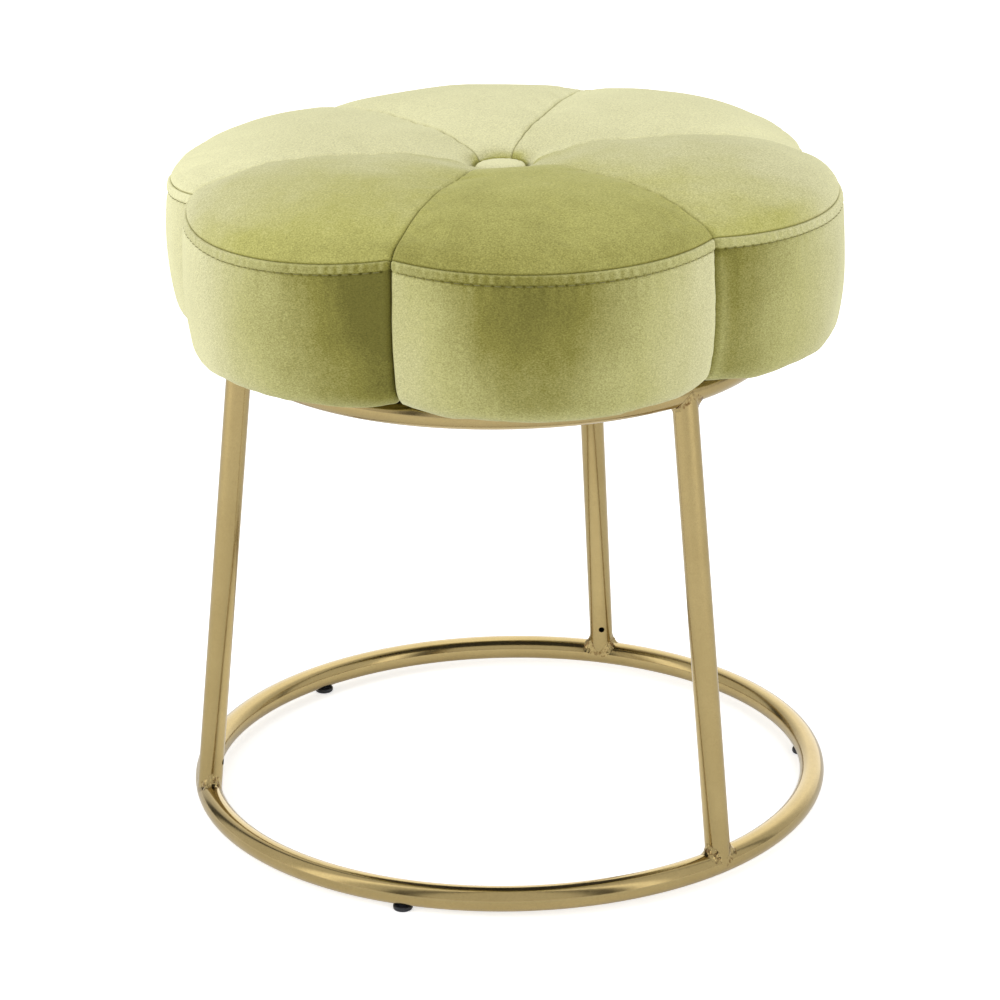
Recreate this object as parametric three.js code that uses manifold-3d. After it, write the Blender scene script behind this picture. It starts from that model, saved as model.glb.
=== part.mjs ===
// Round upholstered stool: a six-petalled flower seat with a tufted button, on a frame of two tube
// rings and three leaning legs. Millimetres, +Z up, origin on the floor under the middle of the seat.

import * as THREE from "three";
import { mergeVertices } from "three/addons/utils/BufferGeometryUtils.js";
import Module from "manifold-3d";

const wasm = await Module();
wasm.setup();

// Clearances
const fit = 0.3; // between pieces that touch
const overrun = 2; // how far a cut runs past what it cuts
const mergeTolerance = 0.0001;

// Frame tube and rings
const tubeDiameter = 16;
const tubeWall = 1.2;
const baseRingRadius = 201.4; // to the centre line of the tube
const topRingRadius = 168.8;
const topRingHeight = 315; // centre line above the floor
const legCount = 3;
const drainDiameter = 4.2;
const drainRise = 22; // along the leg, from the base ring's centre line
const ventDiameter = 6; // opens each end of a leg into its ring
const legWeldWidth = 2.6;

// Feet
const footDrop = 3.5; // below the base ring
const footDiameter = 12.4;
const footEdge = 1.3; // rounding of the pad's lower edge
const footNeck = 1.1; // chamfer of the pad's upper edge
const footStemDiameter = 6;
const footBarbDiameter = 7.6;
const footTipDiameter = 4.4;
const footBarbHeight = 1.2;
const footTipHeight = 2.4;

// Seat mounting
const plateThickness = 3;
const plateReach = 36; // inward from the ring's crown
const plateMargin = 0.8; // outward past the start of the seat's flange
const plateOuterWidth = 48;
const plateInnerWidth = 30;
const plateCorner = 6;
const plateHoleClearance = 1; // across the hole, round the bolt
const boltMargin = 5.2; // from the end of the seat's flange in to the bolt's middle
const boltDiameter = 6;
const boltHeadDiameter = 12;
const boltHeadHeight = 3.6;
const boltSocketWidth = 4;
const boltSocketDepth = 2;
const boltLength = 18;
const washerDiameter = 14;
const washerThickness = 1.2;
const nutFlangeDiameter = 19;
const nutFlangeThickness = 1.5;
const nutBarrelDiameter = 8.4;
const nutBarrelLength = 9;
const plateWeldRadius = 2.4;
const plateWeldLength = 28;
const plateWeldInset = 6.5; // from the ring's centre line
const plateWeldDepth = 2; // below the ring's crown

// Seat underside
const dustCoverThickness = 0.4;
const dustCoverMargin = 1; // inward from the start of the seat's flange
const boardThickness = 12;
const boardInset = 17; // from the rim seam
const coverThickness = 1.6; // velvet and its backing
const stapleCrown = 10;
const stapleWire = 0.7;
const stapleLeg = 9;
const stapleMargin = 9; // inward from the start of the seat's flange
const staplesPerPetal = 2;

// Seat form: the outline, the rim seam and the crown, on the outside of the velvet
const petalCount = 6;
const seatOverhang = 25.2; // of the rim seam past the top ring's centre line, at a valley
const petalDepth = 21.7; // how much further out the rim seam runs at a petal's tip
const sideHeight = 96.1; // from the seat's lowest point up to the rim seam at a valley
const rimTipDrop = 5.7; // how much lower the rim seam runs at a petal's tip
const crownRise = 20.8; // of the seams between the petals, above the rim seam
const petalSwell = 5.1; // of a petal's middle above the seams
const sideBulge = 4.3;
const rollDrop = 1.5; // of the seat's lowest point below the top ring's crown
const rollInset = 13; // from the rim seam in to the lowest point
const flangeInset = 23; // from the rim seam in to the flat part under the board
const flangeWidth = 18;

// Button, its cord and the anchor
const cordDiameter = 3;
const knotDiameter = 5;
const knotHeight = 2.2;
const knotClearance = 0.9; // from the knot to the button's shell
const buttonDiameter = 32;
const buttonShell = 1.8;
const buttonBackThickness = 1.2;
const anchorDiameter = 22;
const anchorThickness = 1.3;

// Facets
const ringSteps = 48;
const tubeSides = 12;
const boreSides = 6;
const roundSides = 16;
const smallSides = 8;
const petalSteps = 6;
const domeSteps = 4;
const weldSteps = 4;
const socketSides = 6;

// The crown from the middle out to the rim: share of the radius of the dish under the button, share
// of the way from the dish to the rim, then the height of the seams between the petals, the swell of
// the petals and the droop of the rim at a petal's tip, each as a share of its own size.
const crownShares = [
  [0.25, 0, 0.07, 0, 0],
  [1, 0, 0.09, 0, 0],
  [1, 0.009, 0.28, 0.04, 0],
  [1, 0.049, 0.587, 0.12, 0],
  [1, 0.138, 0.774, 0.3, 0],
  [1, 0.245, 0.923, 0.65, 0],
  [1, 0.387, 0.966, 0.93, 0],
  [1, 0.533, 1, 1, 0],
  [1, 0.64, 0.96, 0.95, 0],
  [1, 0.747, 0.875, 0.75, 0],
  [1, 0.836, 0.72, 0.55, 0],
  [1, 0.921, 0.466, 0.4, 0.06],
  [1, 0.966, 0.26, 0.25, 0.25],
  [1, 1, 0, 0, 1],
];
// The side from the rim seam down to the roll: share of the bulge, share of the drop.
const sideShares = [
  [0, 0],
  [0.5, 0.05],
  [0.8, 0.18],
  [1, 0.4],
  [0.85, 0.6],
  [0.25, 0.8],
];
// The roll at the foot of the side: share of the roll's inset, share of the drop.
const rollShares = [
  [0.15, 0.92],
  [0.6, 0.985],
  [1, 1],
];
// The solids have a row of facets at these numbered points of the crown and of the side.
const crownRows = [0, 1, 2, 3, 5, 7, 10, 12, 13];
const sideRows = [0, 1, 3, 5, 6, 8, 9, 10, 11];

// Sizes that follow from those above
const tubeRadius = tubeDiameter / 2;
const baseRingHeight = footDrop + tubeRadius;
const ringCrownHeight = topRingHeight + tubeRadius;
const plateHeight = ringCrownHeight + fit;
const plateTopHeight = plateHeight + plateThickness;
const dustCoverHeight = plateTopHeight + fit;
const flangeHeight = dustCoverHeight + dustCoverThickness + fit;
const boardHeight = flangeHeight + coverThickness + fit;
const boardTopHeight = boardHeight + boardThickness;
const petalAngle = (2 * Math.PI) / petalCount;
const halfPetal = petalAngle / 2;
const thirdTurn = (2 * Math.PI) / legCount;
const legAngle = Math.PI / 2; // the back leg
const footAngle = legAngle - thirdTurn / 2; // feet and plates lie half way between the legs
const petalValleyRadius = topRingRadius + seatOverhang;
const petalTipRadius = petalValleyRadius + petalDepth;
const boltRadius = petalValleyRadius - flangeInset - flangeWidth - boltMargin;
const plateOuterRadius = petalValleyRadius - flangeInset + plateMargin;
const dustCoverInset = flangeInset + dustCoverMargin;
const stapleInset = flangeInset + stapleMargin;
const rollBottomHeight = ringCrownHeight - rollDrop;
const rimHeight = rollBottomHeight + sideHeight; // of the rim seam at a valley
const foamDepth = coverThickness + fit;
const seatSteps = petalSteps * petalCount;
const slopeStep = halfPetal / petalSteps;
const buttonRadius = buttonDiameter / 2;
const buttonLipRadius = buttonRadius - buttonShell;
const dishRadius = buttonRadius + fit;
const buttonBottomHeight = rimHeight + crownRise * crownShares[1][2] + fit;
const buttonThickness = buttonBackThickness + fit + knotHeight + knotClearance + buttonShell;
const buttonTopHeight = buttonBottomHeight + buttonThickness;
const anchorHeight = boardHeight - fit - anchorThickness;

// Materials
const gold = new THREE.MeshStandardMaterial({ color: 0xbea569, roughness: 0.28, metalness: 1 });
const velvet = new THREE.MeshStandardMaterial({ color: 0xb4b964, roughness: 0.9, metalness: 0 });
const plastic = new THREE.MeshStandardMaterial({ color: 0x18181a, roughness: 0.5, metalness: 0 });
const zinc = new THREE.MeshStandardMaterial({ color: 0xb8bcc2, roughness: 0.4, metalness: 1 });
const plywood = new THREE.MeshStandardMaterial({ color: 0xc9a675, roughness: 0.8, metalness: 0 });
const foam = new THREE.MeshStandardMaterial({ color: 0xefe6c8, roughness: 1, metalness: 0 });
const cambric = new THREE.MeshStandardMaterial({ color: 0x1c1b1a, roughness: 1, metalness: 0 });
const twine = new THREE.MeshStandardMaterial({ color: 0xe8e2d0, roughness: 0.9, metalness: 0 });

// Turns a closed three.js geometry into a solid that can be joined and cut.
function solidOf(geometry) {
  const bare = geometry.clone();
  bare.deleteAttribute("normal");
  bare.deleteAttribute("uv");
  const merged = mergeVertices(bare, mergeTolerance);
  const points = merged.attributes.position;
  const index = merged.index.array;
  const corners = [];
  for (let i = 0; i < index.length; i += 3) {
    const [a, b, c] = [index[i], index[i + 1], index[i + 2]];
    if (a !== b && b !== c && c !== a) {
      corners.push(a, b, c);
    }
  }
  if (signedVolume(points, corners) < 0) {
    corners.reverse();
  }
  const mesh = new wasm.Mesh({
    numProp: 3,
    vertProperties: Float32Array.from(points.array),
    triVerts: Uint32Array.from(corners),
  });
  return new wasm.Manifold(mesh);
}

// Six times the volume enclosed by a triangle list, negative if its faces point inward.
function signedVolume(points, corners) {
  const [a, b, c] = [new THREE.Vector3(), new THREE.Vector3(), new THREE.Vector3()];
  let sum = 0;
  for (let i = 0; i < corners.length; i += 3) {
    a.fromBufferAttribute(points, corners[i]);
    b.fromBufferAttribute(points, corners[i + 1]);
    c.fromBufferAttribute(points, corners[i + 2]);
    sum += a.dot(b.cross(c));
  }
  return sum;
}

function geometryOf(solid) {
  const mesh = solid.getMesh();
  const geometry = new THREE.BufferGeometry();
  geometry.setAttribute("position", new THREE.BufferAttribute(Float32Array.from(mesh.vertProperties), 3));
  geometry.setIndex(new THREE.BufferAttribute(Uint32Array.from(mesh.triVerts), 1));
  geometry.computeVertexNormals();
  return geometry;
}

// Revolves a profile of [radius, height] pairs about the Z axis.
function turned(profile, sides) {
  const points = profile.map(([radius, height]) => new THREE.Vector2(radius, height));
  return new THREE.LatheGeometry(points, sides).rotateX(Math.PI / 2);
}

// A cylinder along Z between two heights.
function rod(radius, low, high, sides) {
  return turned(
    [
      [0, low],
      [radius, low],
      [radius, high],
      [0, high],
    ],
    sides,
  );
}

// A closed ring of round section about the Z axis.
function torus(ringRadius, height, sectionRadius, sides) {
  const profile = [];
  for (let i = 0; i <= sides; i += 1) {
    const turn = (2 * Math.PI * (i % sides)) / sides;
    profile.push([ringRadius + sectionRadius * Math.cos(turn), height + sectionRadius * Math.sin(turn)]);
  }
  return turned(profile, ringSteps);
}

function box(size, centre) {
  return new THREE.BoxGeometry(size.x, size.y, size.z).translate(centre.x, centre.y, centre.z);
}

function slab(shape, low, thickness) {
  const geometry = new THREE.ExtrudeGeometry(shape, {
    depth: thickness,
    bevelEnabled: false,
    curveSegments: smallSides / 2,
  });
  return geometry.translate(0, 0, low);
}

function named(name, geometry, material, turn = 0) {
  const mesh = new THREE.Mesh(geometry, material);
  mesh.name = name;
  mesh.rotation.z = turn;
  return mesh;
}

// The same piece at the three legs, or at the three places half way between them.
function threeOf(stem, places, startAngle, geometry, material) {
  return places.map((place, i) => named(`${stem}_${place}`, geometry, material, startAngle + i * thirdTurn));
}

const atLegs = ["back", "left", "right"];
const betweenLegs = ["right", "left", "front"];

// One leg stands at angle 0 here, in the XZ plane, and is turned to its place afterwards.
function legFrame() {
  const foot = new THREE.Vector3(baseRingRadius, 0, baseRingHeight);
  const head = new THREE.Vector3(topRingRadius, 0, topRingHeight);
  const along = head.clone().sub(foot).normalize();
  const across = new THREE.Vector3(0, 1, 0);
  const outward = across.clone().cross(along);
  const matrix = new THREE.Matrix4().makeBasis(outward, across, along).setPosition(foot);
  return { matrix, length: head.distanceTo(foot) };
}

// A ring is a hollow tube. Each leg's end has a vent into it, and the base ring has the feet's holes.
function ring(radius, height, holes) {
  let solid = solidOf(torus(radius, height, tubeRadius, tubeSides));
  solid = solid.subtract(solidOf(torus(radius, height, tubeRadius - tubeWall, boreSides)));
  for (const hole of holes) {
    solid = solid.subtract(solidOf(hole));
  }
  return geometryOf(solid);
}

function leanVents(fromBase) {
  const { matrix, length } = legFrame();
  const low = fromBase ? 0 : length - tubeRadius - overrun;
  const high = fromBase ? tubeRadius + overrun : length;
  return atLegs.map((place, i) =>
    rod(ventDiameter / 2, low, high, smallSides)
      .applyMatrix4(matrix)
      .rotateZ(legAngle + i * thirdTurn),
  );
}

function footHoles() {
  return betweenLegs.map((place, i) =>
    rod(footStemDiameter / 2 + fit, footDrop - overrun, baseRingHeight, smallSides)
      .translate(baseRingRadius, 0, 0)
      .rotateZ(footAngle + i * thirdTurn),
  );
}

function baseRing() {
  return named("base_ring", ring(baseRingRadius, baseRingHeight, [...leanVents(true), ...footHoles()]), gold);
}

function topRing() {
  return named("top_ring", ring(topRingRadius, topRingHeight, leanVents(false)), gold);
}

function ringWithClearance(radius, height) {
  return solidOf(torus(radius, height, tubeRadius + fit, tubeSides));
}

// A straight tube, coped to both rings, with a drain hole on its inner side.
function legs() {
  const { matrix, length } = legFrame();
  const bore = rod(tubeRadius - tubeWall, -overrun, length + overrun, smallSides).applyMatrix4(matrix);
  const drain = new THREE.CylinderGeometry(drainDiameter / 2, drainDiameter / 2, tubeRadius + overrun, smallSides)
    .rotateZ(Math.PI / 2)
    .translate(-(tubeRadius + overrun) / 2, 0, drainRise)
    .applyMatrix4(matrix);
  const solid = solidOf(rod(tubeRadius, 0, length, tubeSides).applyMatrix4(matrix))
    .subtract(ringWithClearance(baseRingRadius, baseRingHeight))
    .subtract(ringWithClearance(topRingRadius, topRingHeight))
    .subtract(solidOf(bore))
    .subtract(solidOf(drain));
  return threeOf("leg", atLegs, legAngle, geometryOf(solid), gold);
}

// The weld bead round the end of a leg: a flare that fills the corner between the leg and its ring.
function legWeld(radius, height, fromBase) {
  const { matrix, length } = legFrame();
  const lip = tubeRadius + legWeldWidth;
  const flare = [
    [0, 0],
    [lip, 0],
    [lip, tubeRadius],
    [tubeRadius + fit, lip],
    [0, lip],
  ];
  const bell = turned(flare, smallSides);
  if (!fromBase) {
    bell.rotateX(Math.PI).translate(0, 0, length);
  }
  const legWithClearance = rod(tubeRadius + fit, -overrun, length + overrun, tubeSides).applyMatrix4(matrix);
  return geometryOf(
    solidOf(bell.applyMatrix4(matrix))
      .intersect(solidOf(torus(radius, height, lip, smallSides)))
      .subtract(ringWithClearance(radius, height))
      .subtract(solidOf(legWithClearance)),
  );
}

function legWelds() {
  return [
    ...threeOf("base_weld", atLegs, legAngle, legWeld(baseRingRadius, baseRingHeight, true), gold),
    ...threeOf("top_weld", atLegs, legAngle, legWeld(topRingRadius, topRingHeight, false), gold),
  ];
}

// A pad under the ring with a barbed stem that snaps into the ring's hole.
function feet() {
  const padTop = footDrop - fit;
  const padRadius = footDiameter / 2;
  const stem = footStemDiameter / 2;
  const barbHeight = footDrop + tubeWall + fit + tubeWall;
  const profile = [
    [0, 0],
    [padRadius - footEdge, 0],
    [padRadius - footEdge * (1 - Math.SQRT1_2), footEdge * (1 - Math.SQRT1_2)],
    [padRadius, footEdge],
    [padRadius, padTop - footNeck],
    [padRadius - footNeck, padTop],
    [stem, padTop],
    [stem, barbHeight],
    [footBarbDiameter / 2, barbHeight + footBarbHeight],
    [footTipDiameter / 2, barbHeight + footTipHeight],
    [0, barbHeight + footTipHeight],
  ];
  const geometry = turned(profile, roundSides).translate(baseRingRadius, 0, 0);
  return threeOf("foot", betweenLegs, footAngle, geometry, plastic);
}

// A flat plate from the ring's crown inward, wider at the ring, with one bolt hole.
function plateShape(extra) {
  const outer = plateOuterRadius + extra;
  const inner = topRingRadius - plateReach - extra;
  const wide = plateOuterWidth / 2 + extra;
  const narrow = plateInnerWidth / 2 + extra;
  const shape = new THREE.Shape();
  shape.moveTo(outer, -wide);
  shape.lineTo(outer, wide);
  shape.lineTo(inner + plateCorner, narrow);
  shape.quadraticCurveTo(inner, narrow, inner, narrow - plateCorner);
  shape.lineTo(inner, -narrow + plateCorner);
  shape.quadraticCurveTo(inner, -narrow, inner + plateCorner, -narrow);
  shape.closePath();
  return shape;
}

function mountPlates() {
  const shape = plateShape(0);
  const hole = new THREE.Path();
  hole.absarc(boltRadius, 0, (boltDiameter + plateHoleClearance) / 2, 0, 2 * Math.PI, true);
  shape.holes.push(hole);
  return threeOf("mount_plate", betweenLegs, footAngle, slab(shape, plateHeight, plateThickness), gold);
}

// The bead under a plate, in the corner between the plate and the inside of the ring.
function plateWelds() {
  const radius = topRingRadius - plateWeldInset;
  const height = ringCrownHeight - plateWeldDepth;
  const spread = plateWeldLength / radius / 2;
  const path = new THREE.CatmullRomCurve3(
    [-1, 0, 1].map((side) => {
      const turn = side * spread;
      return new THREE.Vector3(radius * Math.cos(turn), radius * Math.sin(turn), height);
    }),
  );
  const section = new THREE.Shape();
  section.absarc(0, 0, plateWeldRadius, 0, 2 * Math.PI);
  const bead = new THREE.ExtrudeGeometry(section, {
    steps: weldSteps,
    extrudePath: path,
    curveSegments: boreSides / 2,
  });
  const solid = solidOf(bead)
    .subtract(ringWithClearance(topRingRadius, topRingHeight))
    .subtract(solidOf(slab(plateShape(fit), plateHeight - fit, plateThickness)));
  return threeOf("plate_weld", betweenLegs, footAngle, geometryOf(solid), gold);
}

function washers() {
  const high = plateHeight - fit;
  const low = high - washerThickness;
  const inner = boltDiameter / 2 + fit;
  const outer = washerDiameter / 2;
  const profile = [
    [inner, low],
    [outer, low],
    [outer, high],
    [inner, high],
    [inner, low],
  ];
  const geometry = turned(profile, roundSides).translate(boltRadius, 0, 0);
  return threeOf("seat_washer", betweenLegs, footAngle, geometry, zinc);
}

// A socket-head machine screw that goes up through the plate into the board's nut.
function bolts() {
  const headTop = plateHeight - fit - washerThickness - fit;
  const headBottom = headTop - boltHeadHeight;
  const chamfer = boltHeadHeight / 4;
  const profile = [
    [0, headBottom],
    [boltHeadDiameter / 2 - chamfer, headBottom],
    [boltHeadDiameter / 2, headBottom + chamfer],
    [boltHeadDiameter / 2, headTop],
    [boltDiameter / 2, headTop],
    [boltDiameter / 2, headTop + boltLength],
    [0, headTop + boltLength],
  ];
  const socketRadius = boltSocketWidth / 2 / Math.cos(Math.PI / socketSides);
  const socket = rod(socketRadius, headBottom - overrun, headBottom + boltSocketDepth, socketSides);
  const solid = solidOf(turned(profile, roundSides)).subtract(solidOf(socket));
  const geometry = geometryOf(solid).translate(boltRadius, 0, 0);
  return threeOf("seat_bolt", betweenLegs, footAngle, geometry, zinc);
}

// A flanged nut let into the top of the board.
function nuts() {
  const flangeLow = boardTopHeight + fit;
  const flangeHigh = flangeLow + nutFlangeThickness;
  const bore = boltDiameter / 2 + fit;
  const barrel = nutBarrelDiameter / 2;
  const profile = [
    [bore, flangeLow - nutBarrelLength],
    [barrel, flangeLow - nutBarrelLength],
    [barrel, flangeLow],
    [nutFlangeDiameter / 2, flangeLow],
    [nutFlangeDiameter / 2, flangeHigh],
    [bore, flangeHigh],
    [bore, flangeLow - nutBarrelLength],
  ];
  const geometry = turned(profile, roundSides).translate(boltRadius, 0, 0);
  return threeOf("t_nut", betweenLegs, footAngle, geometry, zinc);
}

// Angle from the middle of the nearest petal.
function petalLocal(angle) {
  return angle - Math.round(angle / petalAngle) * petalAngle;
}

// 1 at the middle of a petal, 0 at the seam beside it.
function petalFullness(angle) {
  return 1 - (petalLocal(angle) / halfPetal) ** 2;
}

// Each petal's rim is an arc through its tip and both its valleys.
const petalCentreRadius =
  (petalTipRadius ** 2 - petalValleyRadius ** 2) / (2 * (petalTipRadius - petalValleyRadius * Math.cos(halfPetal)));
const petalArcRadius = petalTipRadius - petalCentreRadius;

function rimRadius(angle) {
  const local = petalLocal(angle);
  const side = petalCentreRadius * Math.sin(local);
  return petalCentreRadius * Math.cos(local) + Math.sqrt(petalArcRadius ** 2 - side ** 2);
}

// A smooth curve through two columns of the crown's table.
function crownCurve(first, second) {
  return new THREE.SplineCurve(crownShares.map((row) => new THREE.Vector2(row[first], row[second])));
}

const crownReach = crownCurve(0, 1);
const crownLift = crownCurve(2, 3);
const crownDroop = crownCurve(2, 4);

// The top, from the hole under the button (0) to the rim seam (1).
function crownPoint(share, angle) {
  const reach = crownReach.getPoint(share);
  const lift = crownLift.getPoint(share);
  const droop = crownDroop.getPoint(share).y * rimTipDrop;
  const radius = reach.x * dishRadius + reach.y * (rimRadius(angle) - dishRadius);
  const swell = (lift.y * petalSwell - droop) * petalFullness(angle);
  return seatPlace(radius, angle, rimHeight + lift.x * crownRise + swell);
}

function seatPlace(radius, angle, height) {
  return new THREE.Vector3(radius * Math.cos(angle), radius * Math.sin(angle), height);
}

// The side, from the rim seam (0) down round the roll to the end of the flange under the board (1).
function sidePoint(share, angle) {
  const rim = rimHeight - rimTipDrop * petalFullness(angle);
  const drop = rim - rollBottomHeight;
  const profile = [
    ...sideShares.map(([out, down]) => [out * sideBulge, rim - down * drop]),
    ...rollShares.map(([inward, down]) => [-inward * rollInset, rim - down * drop]),
    [-(rollInset + flangeInset) / 2, (rollBottomHeight + flangeHeight) / 2],
    [-flangeInset, flangeHeight],
    [-flangeInset - flangeWidth, flangeHeight],
  ];
  const points = profile.map(([out, height]) => new THREE.Vector2(out, height));
  const point = new THREE.SplineCurve(points).getPoint(share);
  return seatPlace(rimRadius(angle) + point.x, angle, point.y);
}

// The velvet's outer surface: 0 at the middle, 1 at the rim seam, 2 at the end of the flange.
function seatPoint(place, angle) {
  return place <= 1 ? crownPoint(Math.max(place, 0), angle) : sidePoint(Math.min(place - 1, 1), angle);
}

// A point at a depth under the velvet's outer surface. The slopes are taken across the seams too, so
// that neighbouring panels meet in a mitre.
function seatPointBelow(place, angle, depth) {
  const outward = seatPoint(place + slopeStep, angle).sub(seatPoint(place - slopeStep, angle));
  const around = seatPoint(place, angle + slopeStep).sub(seatPoint(place, angle - slopeStep));
  return seatPoint(place, angle).addScaledVector(outward.cross(around).normalize(), -depth);
}

const crownPlaces = crownRows.map((row) => row / crownRows.at(-1));
const sidePlaces = sideRows.map((row) => 1 + row / sideRows.at(-1));

// Triangles of a sheet with a thickness, between an outer and an inner grid of points.
function sheet(outer, inner) {
  const rows = outer.length;
  const columns = outer[0].length;
  const at = (layer, row, column) => (layer * rows + row) * columns + column;
  const index = [];
  const quad = (a, b, c, d) => index.push(a, b, c, a, c, d);
  for (let row = 0; row < rows - 1; row += 1) {
    for (let column = 0; column < columns - 1; column += 1) {
      quad(at(0, row, column), at(0, row + 1, column), at(0, row + 1, column + 1), at(0, row, column + 1));
      quad(at(1, row, column), at(1, row, column + 1), at(1, row + 1, column + 1), at(1, row + 1, column));
    }
    const end = columns - 1;
    quad(at(0, row, 0), at(1, row, 0), at(1, row + 1, 0), at(0, row + 1, 0));
    quad(at(0, row, end), at(0, row + 1, end), at(1, row + 1, end), at(1, row, end));
  }
  for (let column = 0; column < columns - 1; column += 1) {
    const end = rows - 1;
    quad(at(0, 0, column), at(0, 0, column + 1), at(1, 0, column + 1), at(1, 0, column));
    quad(at(0, end, column), at(1, end, column), at(1, end, column + 1), at(0, end, column + 1));
  }
  return indexed([...outer.flat(), ...inner.flat()], index);
}

function indexed(points, index) {
  const geometry = new THREE.BufferGeometry();
  geometry.setFromPoints(points);
  geometry.setIndex(index);
  return geometry;
}

// A sewn panel, one petal wide, trimmed by half a clearance at each seam.
function panel(places) {
  const grid = (depth) =>
    places.map((place) => {
      const edge = seatPoint(place, halfPetal);
      const reach = halfPetal - fit / 2 / Math.hypot(edge.x, edge.y);
      const turns = Array.from({ length: petalSteps + 1 }, (unused, i) => reach * ((2 * i) / petalSteps - 1));
      return turns.map((turn) => seatPointBelow(place, turn, depth));
    });
  return sheet(grid(0), grid(coverThickness));
}

function sixOf(stem, geometry, material) {
  return Array.from({ length: petalCount }, (unused, i) =>
    named(`${stem}_${i + 1}`, geometry, material, i * petalAngle),
  );
}

function petalTops() {
  const trimmed = 1 - fit / 2 / petalValleyRadius;
  const places = [...crownPlaces.slice(0, -1), trimmed];
  return sixOf("petal_top", geometryOf(solidOf(panel(places))), velvet);
}

function petalSides() {
  const trimmed = 1 + fit / 2 / (rimHeight - rollBottomHeight);
  const places = [trimmed, ...sidePlaces.slice(1)];
  let solid = solidOf(panel(places));
  for (const hole of stapleHoles(0)) {
    solid = solid.subtract(solidOf(hole));
  }
  return sixOf("petal_side", geometryOf(solid), velvet);
}

// A flat shape with the flower's outline, a given distance in from the rim seam.
function flowerShape(inset) {
  const points = Array.from({ length: seatSteps }, (unused, i) => {
    const angle = (i / seatSteps) * 2 * Math.PI;
    const radius = rimRadius(angle) - inset;
    return new THREE.Vector2(radius * Math.cos(angle), radius * Math.sin(angle));
  });
  return new THREE.Shape(points);
}

// The staples' angles from the middle of a petal.
function stapleTurns() {
  return Array.from({ length: staplesPerPetal }, (unused, i) => ((i + 1 / 2) / staplesPerPetal - 1 / 2) * halfPetal);
}

function stapleLegBoxes(turn, extra, low, high) {
  const radius = rimRadius(turn) - stapleInset;
  const size = new THREE.Vector3(stapleWire + 2 * extra, stapleWire + 2 * extra, high - low);
  return [-1, 1].map((side) => {
    const across = (side * (stapleCrown - stapleWire)) / 2;
    return box(size, new THREE.Vector3(radius, across, (low + high) / 2)).rotateZ(turn);
  });
}

const stapleHeight = dustCoverHeight - fit - stapleWire;

// Clearance holes for the staples of one petal.
function stapleHoles(petal) {
  return stapleTurns().flatMap((turn) =>
    stapleLegBoxes(turn + petal * petalAngle, fit, stapleHeight, stapleHeight + stapleLeg + fit),
  );
}

function allStapleHoles() {
  return Array.from({ length: petalCount }, (unused, petal) => stapleHoles(petal)).flat();
}

function staples() {
  const geometries = stapleTurns().map((turn) => {
    const size = new THREE.Vector3(stapleWire, stapleCrown, stapleWire);
    const centre = new THREE.Vector3(rimRadius(turn) - stapleInset, 0, stapleHeight + stapleWire / 2);
    const legs = stapleLegBoxes(turn, 0, stapleHeight, stapleHeight + stapleLeg);
    return geometryOf(legs.reduce((solid, leg) => solid.add(solidOf(leg)), solidOf(box(size, centre).rotateZ(turn))));
  });
  return geometries.flatMap((geometry, i) => sixOf(`staple_${"abcdefgh"[i]}`, geometry, zinc));
}

// Round holes at the three bolts.
function boltHoles(radius, low, high) {
  return betweenLegs.map((place, i) =>
    rod(radius, low, high, roundSides)
      .translate(boltRadius, 0, 0)
      .rotateZ(footAngle + i * thirdTurn),
  );
}

function seatBoard() {
  const low = boardHeight - overrun;
  const high = boardTopHeight + overrun;
  const cuts = [
    ...boltHoles(nutBarrelDiameter / 2 + fit, low, high),
    rod(cordDiameter / 2 + fit, low, high, smallSides),
    ...allStapleHoles(),
  ];
  let solid = solidOf(slab(flowerShape(boardInset), boardHeight, boardThickness));
  for (const cut of cuts) {
    solid = solid.subtract(solidOf(cut));
  }
  return named("seat_board", geometryOf(solid), plywood);
}

function dustCover() {
  const holes = boltHoles(boltDiameter / 2 + fit, dustCoverHeight - overrun, dustCoverHeight + overrun);
  let solid = solidOf(slab(flowerShape(dustCoverInset), dustCoverHeight, dustCoverThickness));
  for (const hole of [...holes, ...allStapleHoles()]) {
    solid = solid.subtract(solidOf(hole));
  }
  return named("dust_cover", geometryOf(solid), cambric);
}

// The foam fills the velvet and wraps down round the edge of the board.
function foamCore() {
  const places = [...crownPlaces, ...sidePlaces.slice(1, -1)];
  const points = places.flatMap((place) =>
    Array.from({ length: seatSteps }, (unused, i) => seatPointBelow(place, (i / seatSteps) * 2 * Math.PI, foamDepth)),
  );
  const index = [];
  const at = (row, column) => row * seatSteps + (column % seatSteps);
  for (let row = 0; row < places.length - 1; row += 1) {
    for (let column = 0; column < seatSteps; column += 1) {
      index.push(at(row, column), at(row + 1, column), at(row + 1, column + 1));
      index.push(at(row, column), at(row + 1, column + 1), at(row, column + 1));
    }
  }
  const top = points.length;
  const bottom = top + 1;
  points.push(new THREE.Vector3(0, 0, points[0].z), new THREE.Vector3(0, 0, boardHeight));
  for (let column = 0; column < seatSteps; column += 1) {
    index.push(top, at(0, column), at(0, column + 1));
    index.push(bottom, at(places.length - 1, column + 1), at(places.length - 1, column));
  }
  const boardSpace = slab(flowerShape(boardInset - fit), rollBottomHeight, boardTopHeight + fit - rollBottomHeight);
  const nutTop = boardTopHeight + fit + nutFlangeThickness + fit;
  const cuts = [
    boardSpace,
    rod(cordDiameter / 2 + fit, boardHeight, buttonTopHeight, smallSides),
    ...boltHoles(nutFlangeDiameter / 2 + fit, boardHeight, nutTop),
  ];
  let solid = solidOf(indexed(points, index));
  for (const cut of cuts) {
    solid = solid.subtract(solidOf(cut));
  }
  return named("foam_core", geometryOf(solid), foam);
}

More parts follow.
